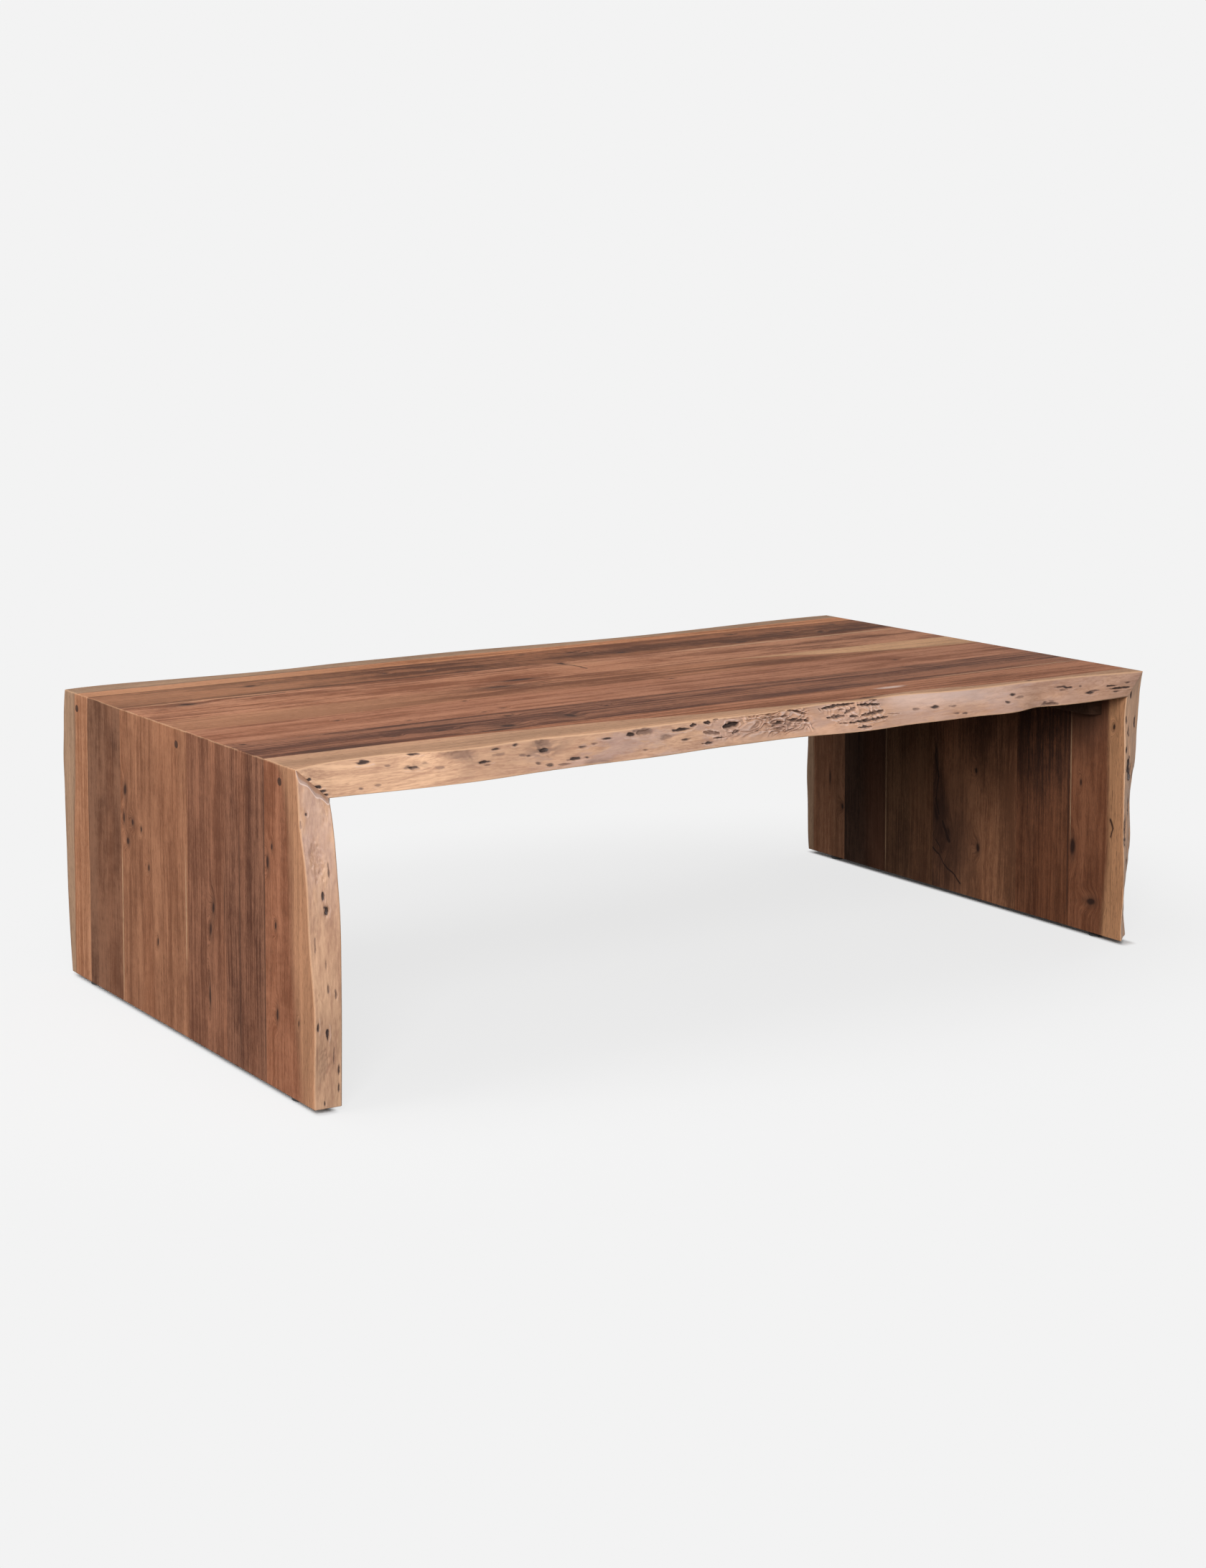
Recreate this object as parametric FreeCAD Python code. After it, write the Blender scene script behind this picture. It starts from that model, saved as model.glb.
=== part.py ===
import FreeCAD, Part
import os

from FreeCAD import Vector

# A waterfall coffee table. Three slabs of edge-glued boards meet in mitres at the two upper
# corners, and the slabs keep the tree's own wavy edge at the front and at the back.
# X runs along the length, the front is -Y, +Z is up, and the feet stand on z = 0.
# All sizes are in millimetres.

# Overall sizes
length = 1368.0
width = 758.0
height = 406.0
slab_thickness = 35.0
foot_stand = 7.0

# How far the live edges draw in from the overall width, at the most
front_swing = 80.0
back_swing = 40.0

# Joints between the boards of each slab, as shares of the width from the front
top_joint_shares = (0.178, 0.320, 0.464, 0.574, 0.738, 0.880)
left_joint_shares = (0.178, 0.320, 0.464, 0.738, 0.880)
right_joint_shares = (0.158, 0.308, 0.560, 0.714, 0.849)

# Live edges. Each row holds the share along the slab, then how deep the edge draws in on the
# outer face and on the inner face, as shares of the swing. The top runs from left to right, and
# the legs run from the floor to the mitre.
top_front_shares = (
    (0.000, 0.630, 0.405),
    (0.030, 0.840, 0.370),
    (0.070, 0.930, 0.290),
    (0.110, 0.900, 0.235),
    (0.155, 0.640, 0.206),
    (0.210, 0.670, 0.265),
    (0.260, 0.700, 0.295),
    (0.310, 0.600, 0.280),
    (0.370, 0.600, 0.260),
    (0.440, 0.600, 0.330),
    (0.490, 0.530, 0.320),
    (0.540, 0.580, 0.300),
    (0.590, 0.670, 0.160),
    (0.630, 0.560, 0.095),
    (0.680, 0.640, 0.140),
    (0.730, 0.480, 0.100),
    (0.785, 0.380, 0.070),
    (0.815, 0.390, 0.000),
    (0.845, 0.390, 0.070),
    (0.870, 0.360, 0.170),
    (0.895, 0.340, 0.090),
    (0.930, 0.290, 0.035),
    (0.965, 0.180, 0.030),
    (1.000, 0.088, 0.056),
)
top_back_shares = (
    (0.000, 0.220, 0.150),
    (0.057, 0.090, 0.040),
    (0.104, 0.230, 0.120),
    (0.152, 0.370, 0.230),
    (0.250, 0.510, 0.340),
    (0.306, 0.370, 0.220),
    (0.386, 0.360, 0.200),
    (0.472, 0.370, 0.240),
    (0.525, 0.510, 0.360),
    (0.582, 0.670, 0.480),
    (0.638, 0.820, 0.620),
    (0.759, 0.830, 0.660),
    (0.827, 0.670, 0.500),
    (0.898, 0.500, 0.380),
    (1.000, 0.500, 0.340),
)
left_front_shares = (
    (0.000, 0.130, 0.087),
    (0.170, 0.113, 0.070),
    (0.310, 0.120, 0.062),
    (0.420, 0.206, 0.062),
    (0.520, 0.270, 0.064),
    (0.660, 0.330, 0.100),
    (0.760, 0.430, 0.165),
    (0.830, 0.530, 0.210),
    (0.945, 0.590, 0.320),
    (1.000, 0.630, 0.405),
)
left_back_shares = (
    (0.000, 0.545, 0.600),
    (0.150, 0.350, 0.420),
    (0.300, 0.225, 0.310),
    (0.450, 0.160, 0.240),
    (0.600, 0.085, 0.160),
    (0.680, 0.050, 0.110),
    (0.757, 0.000, 0.070),
    (0.834, 0.050, 0.090),
    (0.910, 0.090, 0.120),
    (1.000, 0.220, 0.150),
)
right_front_shares = (
    (0.000, 0.440, 0.114),
    (0.080, 0.480, 0.112),
    (0.170, 0.480, 0.078),
    (0.250, 0.420, 0.065),
    (0.340, 0.350, 0.072),
    (0.440, 0.362, 0.090),
    (0.550, 0.355, 0.094),
    (0.650, 0.260, 0.094),
    (0.770, 0.220, 0.094),
    (0.880, 0.175, 0.110),
    (0.960, 0.130, 0.090),
    (1.000, 0.088, 0.056),
)
right_back_shares = (
    (0.000, 0.500, 0.440),
    (0.100, 0.420, 0.370),
    (0.220, 0.360, 0.355),
    (0.350, 0.300, 0.290),
    (0.470, 0.360, 0.338),
    (0.620, 0.440, 0.350),
    (0.780, 0.400, 0.300),
    (0.900, 0.450, 0.310),
    (1.000, 0.500, 0.340),
)

# Screws driven through each leg into the end of the top, under wooden plugs
joint_screw_shares = (0.124, 0.504, 0.930)
joint_screw_depth_share = 0.6
joint_screw_length = 60.0
plug_diameter = 10.0
plug_length = 7.0
plug_edge = 0.5

# Wood screws of every kind
screw_shank_diameter = 4.5
screw_head_diameter = 8.5
screw_head_height = 2.6
screw_head_rim = 0.6
screw_tip_length = 6.0
screw_tip_diameter = 0.8
screw_slot_width = 1.0
screw_slot_reach = 4.4
screw_slot_depth = 1.6

# Loose tenons glued across each mitre
tenon_shares = (0.220, 0.392, 0.656, 0.809)
tenon_width = 30.0
tenon_thickness = 6.0
tenon_length = 28.0
tenon_depth_share = 0.57

# Cleats in the corners under the top
cleat_thickness = 20.0
cleat_height = 33.0
cleat_inset = 57.0
cleat_nip = 11.0
cleat_screw_length = 40.0
cleat_bore_diameter = 10.0
cleat_up_bore_depth = 15.0
cleat_side_bore_depth = 4.0
cleat_up_shares = (0.10, 0.36, 0.64, 0.90)
cleat_side_shares = (0.20, 0.50, 0.80)

# Levelling feet
foot_inset = 78.0
pad_diameter = 24.0
pad_top_diameter = 20.0
pad_rim_height = 3.0
pad_edge = 0.8
pad_gap = 0.6
stud_diameter = 8.0
stud_length = 25.0
stud_tip_edge = 1.0
stud_flange_diameter = 13.0
stud_flange_height = 1.8
stud_flange_floor = 1.6
insert_diameter = 12.0
insert_length = 18.0
insert_collar_diameter = 16.0
insert_collar_height = 1.5
stud_well_depth = 30.0
stud_well_diameter = 9.0

# Clearances
glue_clearance = 0.05
screw_clearance = 0.05
thread_clearance = 0.05
swivel_clearance = 0.08

# Overrun of the cutters
overrun = 5.0

# Derived places
wood_height = height - foot_stand
left = -1
right = 1
outer = 0
inner = 1
up = Vector(0, 0, 1)


def top_point(share, y, face):
    """Point on the top slab, on its outer face (0) or its inner face (1)."""
    depth = face * slab_thickness
    run = length - depth - depth
    return Vector(-length / 2 + depth + share * run, y, height - depth)


def leg_point(side):
    """Point function of a leg slab, which runs from the floor end to the mitre."""
    def place(share, y, face):
        depth = face * slab_thickness
        return Vector(side * (length / 2 - depth), y, foot_stand + share * (wood_height - depth))
    return place


def joint_line(place, y):
    """Straight glue line on a face of a slab."""
    def line(face):
        return Part.makeLine(place(0, y, face), place(1, y, face))
    return line


def live_line(place, shares, start, swing):
    """Wavy edge on a face of a slab, drawn in from the overall width."""
    def line(face):
        points = [place(row[0], start + row[1 + face] * swing, face) for row in shares]
        curve = Part.BSplineCurve()
        curve.interpolate(points)
        return curve.toShape()
    return line


def face_wire(front_line, back_line, face):
    """Outline of one face of a board, between its front line and its back line."""
    front = front_line(face)
    back = back_line(face)
    near = Part.makeLine(front.Vertexes[0].Point, back.Vertexes[0].Point)
    far = Part.makeLine(front.Vertexes[-1].Point, back.Vertexes[-1].Point)
    return Part.Wire(Part.__sortEdges__([near, back, far, front]))


def board(front_line, back_line):
    """One board, ruled between its outer face and its inner face, so its ends are mitred."""
    wires = [face_wire(front_line, back_line, face) for face in (outer, inner)]
    return Part.makeLoft(wires, True, True)


def slab_boards(place, joint_shares, front_shares, back_shares):
    """The boards of one slab, from front to back."""
    front = -width / 2
    lines = [live_line(place, front_shares, front, front_swing)]
    lines += [joint_line(place, front + share * width) for share in joint_shares]
    lines.append(live_line(place, back_shares, width / 2, -back_swing))
    return [board(near, far) for near, far in zip(lines, lines[1:])]


def aimed(shape, point, direction):
    """Turn a shape built along +Z to a direction, and move it to a point."""
    shape.Placement = FreeCAD.Placement(point, FreeCAD.Rotation(up, direction))
    return shape


def turned(profile):
    """Solid of revolution about Z from (radius, height) points."""
    points = [Vector(radius, 0, z) for radius, z in profile]
    points.append(points[0])
    return Part.Face(Part.makePolygon(points)).revolve(Vector(0, 0, 0), up, 360)


def screw_body(screw_length, clearance):
    """Countersunk screw that starts with its head at z = 0 and points along +Z."""
    shank = screw_shank_diameter / 2 + clearance
    head = screw_head_diameter / 2 + clearance
    return turned((
        (0, 0),
        (head, 0),
        (head, screw_head_rim),
        (shank, screw_head_height),
        (shank, screw_length - screw_tip_length),
        (screw_tip_diameter / 2, screw_length + clearance),
        (0, screw_length + clearance),
    ))


def screw(screw_length):
    """Countersunk screw with its crossed driver slots."""
    body = screw_body(screw_length, 0)
    for reach, breadth in ((screw_slot_reach, screw_slot_width), (screw_slot_width, screw_slot_reach)):
        corner = Vector(-reach / 2, -breadth / 2, 0)
        body = body.cut(Part.makeBox(reach, breadth, screw_slot_depth, corner))
    return body


def plug():
    """Wooden plug that starts at the leg's face at z = 0 and points along +Z."""
    radius = plug_diameter / 2
    return turned((
        (0, 0),
        (radius, 0),
        (radius, plug_length - plug_edge),
        (radius - plug_edge, plug_length),
        (0, plug_length),
    ))


def plug_hole():
    """Hole for a plug and for the head of the screw under it."""
    radius = plug_diameter / 2 + glue_clearance
    return Part.makeCylinder(radius, plug_length + overrun, Vector(0, 0, -overrun), up)


def joint_screw_places(side):
    """Start point and direction of each screw that holds a mitre."""
    z = height - joint_screw_depth_share * slab_thickness
    inward = Vector(-side, 0, 0)
    return [
        (Vector(side * length / 2, -width / 2 + share * width, z), inward)
        for share in joint_screw_shares
    ]


def tenon(clearance):
    """Loose tenon with rounded edges, centred on the origin, with its length along Z."""
    thickness = tenon_thickness + clearance + clearance
    run = tenon_length + clearance + clearance
    flat = tenon_width - tenon_thickness
    low = -run / 2
    block = Part.makeBox(thickness, flat, run, Vector(-thickness / 2, -flat / 2, low))
    for y in (-flat / 2, flat / 2):
        block = block.fuse(Part.makeCylinder(thickness / 2, run, Vector(0, y, low), up))
    return block.removeSplitter()


def tenon_places(side):
    """Centre and direction of each loose tenon, square to the mitre."""
    drop = tenon_depth_share * slab_thickness
    x = side * (length / 2 - drop)
    z = height - drop
    square = Vector(-side, 0, 1)
    return [(Vector(x, -width / 2 + share * width, z), square) for share in tenon_shares]


def cleat_span():
    """Front end and length of the cleats."""
    return -width / 2 + cleat_inset, width - cleat_inset - cleat_inset


def cleat(side):
    """Cleat in the corner between leg and top, with its free corners nipped off."""
    start, run = cleat_span()
    near = side * (length / 2 - slab_thickness)
    far = near - side * cleat_thickness
    nipped = far + side * cleat_nip
    z = height - slab_thickness - cleat_height
    outline = [
        Vector(near, start, z),
        Vector(nipped, start, z),
        Vector(far, start + cleat_nip, z),
        Vector(far, start + run - cleat_nip, z),
        Vector(nipped, start + run, z),
        Vector(near, start + run, z),
        Vector(near, start, z),
    ]
    return Part.Face(Part.makePolygon(outline)).extrude(Vector(0, 0, cleat_height))


def cleat_screw_places(side):
    """Mouth, head seat and direction of each cleat screw, up into the top and out into the leg."""
    start, run = cleat_span()
    face = side * (length / 2 - slab_thickness - cleat_thickness)
    middle = face + side * cleat_thickness / 2
    low = height - slab_thickness - cleat_height
    outward = Vector(side, 0, 0)
    places = []
    for share in cleat_up_shares:
        mouth = Vector(middle, start + share * run, low)
        places.append((mouth, mouth + up * cleat_up_bore_depth, up))
    for share in cleat_side_shares:
        mouth = Vector(face, start + share * run, low + cleat_height / 2)
        places.append((mouth, mouth + outward * cleat_side_bore_depth, outward))
    return places


def foot_places():
    """Names and centres of the feet, on the floor."""
    x = length / 2 - slab_thickness / 2
    y = width / 2 - foot_inset
    return (
        ("front_left", Vector(-x, -y, 0)),
        ("front_right", Vector(x, -y, 0)),
        ("back_left", Vector(-x, y, 0)),
        ("back_right", Vector(x, y, 0)),
    )


def foot_pad():
    """Pad with a socket in which the stud's flange turns."""
    top = foot_stand - pad_gap
    shell = turned((
        (0, 0),
        (pad_diameter / 2 - pad_edge, 0),
        (pad_diameter / 2, pad_edge),
        (pad_diameter / 2, pad_rim_height),
        (pad_top_diameter / 2, top),
        (0, top),
    ))
    flange = stud_flange_diameter / 2 + swivel_clearance
    neck = stud_diameter / 2 + swivel_clearance
    floor = stud_flange_floor - swivel_clearance
    ceiling = stud_flange_floor + stud_flange_height + swivel_clearance
    socket = turned((
        (0, floor),
        (flange, floor),
        (flange, ceiling),
        (neck, ceiling),
        (neck, top + overrun),
        (0, top + overrun),
    ))
    return shell.cut(socket)


def foot_stud():
    """Steel stud whose flange turns in the pad and whose shank screws into the leg."""
    radius = stud_diameter / 2
    tip = foot_stand + stud_length
    return turned((
        (0, stud_flange_floor),
        (stud_flange_diameter / 2, stud_flange_floor),
        (stud_flange_diameter / 2, stud_flange_floor + stud_flange_height),
        (radius, stud_flange_floor + stud_flange_height),
        (radius, tip - stud_tip_edge),
        (radius - stud_tip_edge, tip),
        (0, tip),
    ))


def insert_body(clearance):
    """Barrel and collar of a threaded insert, without its bore."""
    return turned((
        (0, foot_stand),
        (insert_collar_diameter / 2 + clearance, foot_stand),
        (insert_collar_diameter / 2 + clearance, foot_stand + insert_collar_height),
        (insert_diameter / 2 + clearance, foot_stand + insert_collar_height),
        (insert_diameter / 2 + clearance, foot_stand + insert_length),
        (0, foot_stand + insert_length),
    ))


def foot_insert():
    """Threaded insert that the stud runs in."""
    bore = stud_diameter / 2 + thread_clearance
    return insert_body(0).cut(Part.makeCylinder(bore, insert_length + overrun, Vector(0, 0, foot_stand), up))


def foot_well():
    """Hole in the leg for an insert and for the free end of the stud."""
    well = Part.makeCylinder(stud_well_diameter / 2, stud_well_depth, Vector(0, 0, foot_stand), up)
    return insert_body(glue_clearance).fuse(well)


def placed_group(shapes):
    """Several separate solids in one piece of work."""
    return Part.makeCompound(shapes)


def meets(one, other):
    """Whether the boxes around two shapes overlap."""
    return one.BoundBox.intersect(other.BoundBox)


def relieved(solid, cutters):
    """A solid with every cutter that reaches it taken away."""
    for cutter in cutters:
        if meets(solid, cutter):
            solid = solid.cut(cutter)
    return solid


def side_cutters(side):
    """What is cut from the boards around one mitre."""
    cutters = []
    for point, inward in joint_screw_places(side):
        cutters.append(aimed(plug_hole(), point, inward))
        seat = point + inward * plug_length
        cutters.append(aimed(screw_body(joint_screw_length, screw_clearance), seat, inward))
    for centre, square in tenon_places(side):
        cutters.append(aimed(tenon(glue_clearance), centre, square))
    for _, seat, direction in cleat_screw_places(side):
        cutters.append(aimed(screw_body(cleat_screw_length, screw_clearance), seat, direction))
    return cutters


def cleat_cutters(side):
    """Counterbores and screw holes of one cleat."""
    cutters = []
    for mouth, seat, direction in cleat_screw_places(side):
        bore = Part.makeCylinder(cleat_bore_diameter / 2, mouth.distanceToPoint(seat) + overrun)
        cutters.append(aimed(bore, mouth - direction * overrun, direction))
        cutters.append(aimed(screw_body(cleat_screw_length, screw_clearance), seat, direction))
    return cutters


def save(name, shape):
    """Write one piece, and print what it holds."""
    shape.exportStep("parts/" + name + ".step")
    box = shape.BoundBox
    solids = len(shape.Solids)
    print(name, solids, "solids, valid", shape.isValid(), "volume", round(shape.Volume), "mm3",
          "box", round(box.XLength, 1), round(box.YLength, 1), round(box.ZLength, 1))


def save_boards(name, boards, cutters):
    """Write the boards of a slab, numbered from the front."""
    for number, solid in enumerate(boards, 1):
        save(name + "_board_" + str(number), relieved(solid, cutters))


def save_side(name, side):
    """Write the fasteners, tenons and cleat of one mitre."""
    joints = joint_screw_places(side)
    plugs = [aimed(plug(), point, inward) for point, inward in joints]
    screws = [
        aimed(screw(joint_screw_length), point + inward * plug_length, inward)
        for point, inward in joints
    ]
    tenons = [aimed(tenon(0), centre, square) for centre, square in tenon_places(side)]
    cleat_screws = [
        aimed(screw(cleat_screw_length), seat, direction)
        for _, seat, direction in cleat_screw_places(side)
    ]
    save(name + "_screw_plugs", placed_group(plugs))
    save(name + "_joint_screws", placed_group(screws))
    save(name + "_mitre_tenons", placed_group(tenons))
    save(name + "_corner_cleat", relieved(cleat(side), cleat_cutters(side)))
    save(name + "_cleat_screws", placed_group(cleat_screws))


def save_feet():
    """Write the levelling feet and their inserts."""
    inserts = []
    for name, centre in foot_places():
        pad = foot_pad()
        pad.translate(centre)
        save(name + "_foot_pad", pad)
        stud = foot_stud()
        stud.translate(centre)
        save(name + "_foot_stud", stud)
        insert = foot_insert()
        insert.translate(centre)
        inserts.append(insert)
    save("foot_inserts", placed_group(inserts))


def foot_wells():
    """The holes of all feet in the legs."""
    wells = []
    for _, centre in foot_places():
        well = foot_well()
        well.translate(centre)
        wells.append(well)
    return wells


def main():
    os.makedirs("parts", exist_ok=True)
    left_cutters = side_cutters(left)
    right_cutters = side_cutters(right)
    wells = foot_wells()
    top = slab_boards(top_point, top_joint_shares, top_front_shares, top_back_shares)
    left_leg = slab_boards(leg_point(left), left_joint_shares, left_front_shares, left_back_shares)
    right_leg = slab_boards(leg_point(right), right_joint_shares, right_front_shares, right_back_shares)
    save_boards("top", top, left_cutters + right_cutters)
    save_boards("left_leg", left_leg, left_cutters + wells)
    save_boards("right_leg", right_leg, right_cutters + wells)
    save_side("left", left)
    save_side("right", right)
    save_feet()


main()
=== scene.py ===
import math
from dataclasses import dataclass

import bmesh
import bpy
from bpy.props import FloatProperty, FloatVectorProperty, IntProperty, PointerProperty
from mathutils import Matrix, Vector, noise
from mathutils.bvhtree import BVHTree


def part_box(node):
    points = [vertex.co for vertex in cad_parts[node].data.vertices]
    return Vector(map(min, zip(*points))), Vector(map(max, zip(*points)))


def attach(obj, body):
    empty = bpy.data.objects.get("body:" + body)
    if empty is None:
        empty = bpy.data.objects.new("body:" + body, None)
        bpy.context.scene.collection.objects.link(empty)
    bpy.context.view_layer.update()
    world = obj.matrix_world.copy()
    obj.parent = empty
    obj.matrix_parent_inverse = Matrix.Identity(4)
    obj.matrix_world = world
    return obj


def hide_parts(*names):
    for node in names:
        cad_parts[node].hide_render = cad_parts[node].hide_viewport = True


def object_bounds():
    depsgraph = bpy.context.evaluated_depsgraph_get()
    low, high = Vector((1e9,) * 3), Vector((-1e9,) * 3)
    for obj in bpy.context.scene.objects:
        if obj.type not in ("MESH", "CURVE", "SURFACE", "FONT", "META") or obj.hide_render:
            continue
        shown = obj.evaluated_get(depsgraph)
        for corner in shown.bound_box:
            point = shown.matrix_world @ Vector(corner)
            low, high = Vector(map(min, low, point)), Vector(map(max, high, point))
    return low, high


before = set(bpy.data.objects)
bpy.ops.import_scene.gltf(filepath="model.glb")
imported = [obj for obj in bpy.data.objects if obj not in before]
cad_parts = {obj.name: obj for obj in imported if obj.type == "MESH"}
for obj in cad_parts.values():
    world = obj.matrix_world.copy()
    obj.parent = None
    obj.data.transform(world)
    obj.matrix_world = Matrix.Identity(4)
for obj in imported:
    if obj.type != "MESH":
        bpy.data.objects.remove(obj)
cad_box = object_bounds()

# Dresses a waterfall coffee table. Every board becomes a mesh with soft arrises and, at the front
# and the back, a natural edge with pits and hollows. Lengths are in metres, and in mm in the tables
# whose comments say so.

bl_info = {
    "name": "Waterfall coffee table",
    "version": (1, 0, 0),
    "blender": (4, 5, 0),
    "location": "View3D > Sidebar > Table",
    "description": "Boards with live edges, plugs, cleats and levelling feet around the packed frame",
    "category": "Object",
}

mm = 0.001

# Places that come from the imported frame
high_corner = cad_box[1]
half_length = high_corner.x
half_width = high_corner.y
table_height = high_corner.z
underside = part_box("left_leg_board_3")[0].z
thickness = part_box("left_leg_board_3")[1].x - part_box("left_leg_board_3")[0].x
leg_run = table_height - underside


def size(name, description, default):
    """A length property with its default."""
    return FloatProperty(name=name, description=description, default=default, unit="LENGTH")


class TableSizes(bpy.types.PropertyGroup):
    """Sizes of the dressed boards that a maker might change."""

    arris: size("Mitre arris", "Radius along the outer corner of a mitre", 2.0 * mm)
    soft_edge: size("Soft edge", "Reach of the rounding along a live edge", 3.5 * mm)
    foot_bevel: size("Foot bevel", "Bevel round the floor end of a leg", 0.8 * mm)
    live_step: size("Live step", "Spacing of the mesh along a live edge", 1.6 * mm)
    burl_step: size("Burl step", "Spacing of the mesh along the burl", 1.0 * mm)
    live_rows: IntProperty(name="Live rows", description="Rows of the mesh down a live edge", default=42)
    ripple: size("Ripple", "Depth of the slow waves in a live edge", 2.2 * mm)
    facet: size("Facet", "Width of the sanded facet beside the left mitre", 9.5 * mm)
    facet_depth: size("Facet depth", "How far that facet cuts in", 4.0 * mm)
    cleat_nose: size("Cleat nose", "Rounding of the ends of a cleat", 7.0 * mm)
    cleat_arris: size("Cleat arris", "Rounding along the bottom of a cleat", 1.2 * mm)
    plug_gap: size("Plug gap", "Dark line round a plug", 0.15 * mm)
    thread_pitch: size("Thread pitch", "Pitch of the feet's studs", 1.25 * mm)
    thread_depth: size("Thread depth", "Depth of the feet's thread", 0.6 * mm)


def colour(name, description, value):
    """A colour property with its default."""
    return FloatVectorProperty(name=name, description=description, subtype="COLOR", size=3,
                               min=0.0, max=1.0, default=value)


class TableColours(bpy.types.PropertyGroup):
    """Colours of the wood and the hardware, in linear values."""

    sapwood: colour("Sapwood", "Pale wood next to a live edge", (0.580, 0.330, 0.200))
    leg_sap: colour("Leg sapwood", "Golden sapwood of the left leg", (0.540, 0.270, 0.150))
    inner_sap: colour("Inner sapwood", "Bright sapwood of the right leg", (0.740, 0.370, 0.190))
    green_sap: colour("Grey sapwood", "Cooler sapwood with a green cast", (0.470, 0.290, 0.185))
    bark_tan: colour("Natural edge", "Smooth wood under the bark", (0.650, 0.400, 0.290))
    bark_shade: colour("Natural edge shade", "Darker clouds on the natural edge", (0.360, 0.190, 0.125))
    bark_gold: colour("Golden edge", "Yellower wood on the natural edge", (0.740, 0.460, 0.290))
    facet: colour("Facet", "Sanded facet beside the left mitre", (0.390, 0.270, 0.225))
    facet_warm: colour("Facet edge", "Browner wood along the facet's upper side", (0.360, 0.185, 0.105))
    bark_mauve: colour("Mauve edge", "Grey pink patches on the natural edge", (0.430, 0.300, 0.275))
    bark_brown: colour("Brown edge", "Golden brown wood round the burl", (0.600, 0.330, 0.190))
    gold_sap: colour("Golden sapwood", "Yellow streak in the top", (0.660, 0.370, 0.205))
    bark_grey: colour("Weathered edge", "Grey purple wood in the burl", (0.290, 0.215, 0.205))
    # Pale wood that also serves as painted highlight: on the raised lips and ridges of the natural edge,
    # along the facet's lower edge and on the glossy patch beside the burl
    pale_edge_and_highlight: colour("Bleached edge", "Pale pink patch beside the burl", (0.680, 0.500, 0.430))
    # The hollow and pit colours darken the pits, grooves and dips of the natural edge: partly darker wood
    # left under the bark, partly painted shade
    hollow: colour("Hollow", "Grey brown wood in a hollow", (0.185, 0.112, 0.088))
    pit: colour("Pit", "Floor of the pits", (0.070, 0.045, 0.038))
    knot: colour("Knot", "Heart of a knot", (0.040, 0.022, 0.018))
    halo_and_shade: colour("Knot halo", "Wood around a knot", (0.120, 0.058, 0.038))
    # Also used as painted shade in a stain high on the right leg, under the top
    pale_line: colour("Pale line", "Thin sapwood line beside a joint", (0.560, 0.360, 0.220))
    dark_line: colour("Dark line", "Thin dark line beside a joint", (0.060, 0.030, 0.022))
    plug: colour("Plug", "Oiled plug", (0.110, 0.055, 0.038))
    # The cleat's colour carries painted shade: it is darkened to how the cleat looks in the shadow under the
    # top
    cleat: colour("Cleat", "Oiled cleat", (0.110, 0.056, 0.035))
    tenon: colour("Tenon", "Pressed beech", (0.520, 0.340, 0.200))
    zinc: colour("Zinc", "Zinc plated steel", (0.560, 0.550, 0.520))
    brass: colour("Brass", "Turned brass", (0.600, 0.430, 0.180))
    plastic: colour("Plastic", "Black pad", (0.018, 0.018, 0.019))
    warm: colour("Warm streak", "Red streaks in the heartwood", (0.420, 0.150, 0.070))
    ground: colour("Floor", "Pale floor and background", (0.896, 0.896, 0.896))


@dataclass(eq=False)
class Slab:
    """A slab in its own measures: run along the grain, y across it, depth below the outer face."""

    origin: Vector
    along: Vector
    inward: Vector
    run: float
    lead: int
    turn: tuple
    shift: tuple
    tail: int = 1

    def point(self, share, y, depth):
        """A place at a share of the slab's length, whose mitred ends lean with the depth."""
        reach = self.lead * depth + share * (self.run - (self.lead + self.tail) * depth)
        return self.origin + self.along * reach + self.inward * depth + Vector((0, y, 0))


TOP = Slab(Vector((-half_length, 0, table_height)), Vector((1, 0, 0)), Vector((0, 0, -1)),
           2 * half_length, 1, (0, 0, 0), (0, 0, -table_height))
LEFT = Slab(Vector((-half_length, 0, underside)), Vector((0, 0, 1)), Vector((1, 0, 0)),
            leg_run, 0, (0, math.pi / 2, 0), (-table_height - half_length, 0, -half_length))
RIGHT = Slab(Vector((half_length, 0, underside)), Vector((0, 0, 1)), Vector((-1, 0, 0)),
             leg_run, 0, (0, -math.pi / 2, 0), (table_height + half_length, 0, -half_length))


def grain_place(slab, x_or_z):
    """Turns an x on the top, or a z on a leg, both in mm, into the distance along the grain."""
    if slab is TOP:
        return x_or_z * mm
    if slab is LEFT:
        return x_or_z * mm - table_height - half_length
    return table_height + half_length - x_or_z * mm


# Meshes

# How close two points count as one, the sides of a cylinder, and the angles in degrees past which
# an edge of a board, of a small piece and of a stud stays sharp
WELD = 1e-6
CYLINDER_SIDES = 40
SHARP_ANGLE = 38
SMALL_SHARP_ANGLE = 35
STUD_SHARP_ANGLE = 32


def new_piece(name, mesh, material, node, body="table"):
    """Links a finished mesh, gives it its material and lets it stand for its CAD node."""
    piece = bpy.data.objects.new(name, mesh)
    bpy.context.scene.collection.objects.link(piece)
    mesh.materials.clear()
    mesh.materials.append(material)
    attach(piece, body)
    if node:
        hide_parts(node)
    return piece


def mesh_of(shape, name):
    """A mesh from a finished bmesh."""
    mesh = bpy.data.meshes.new(name)
    shape.to_mesh(mesh)
    shape.free()
    return mesh


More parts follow.
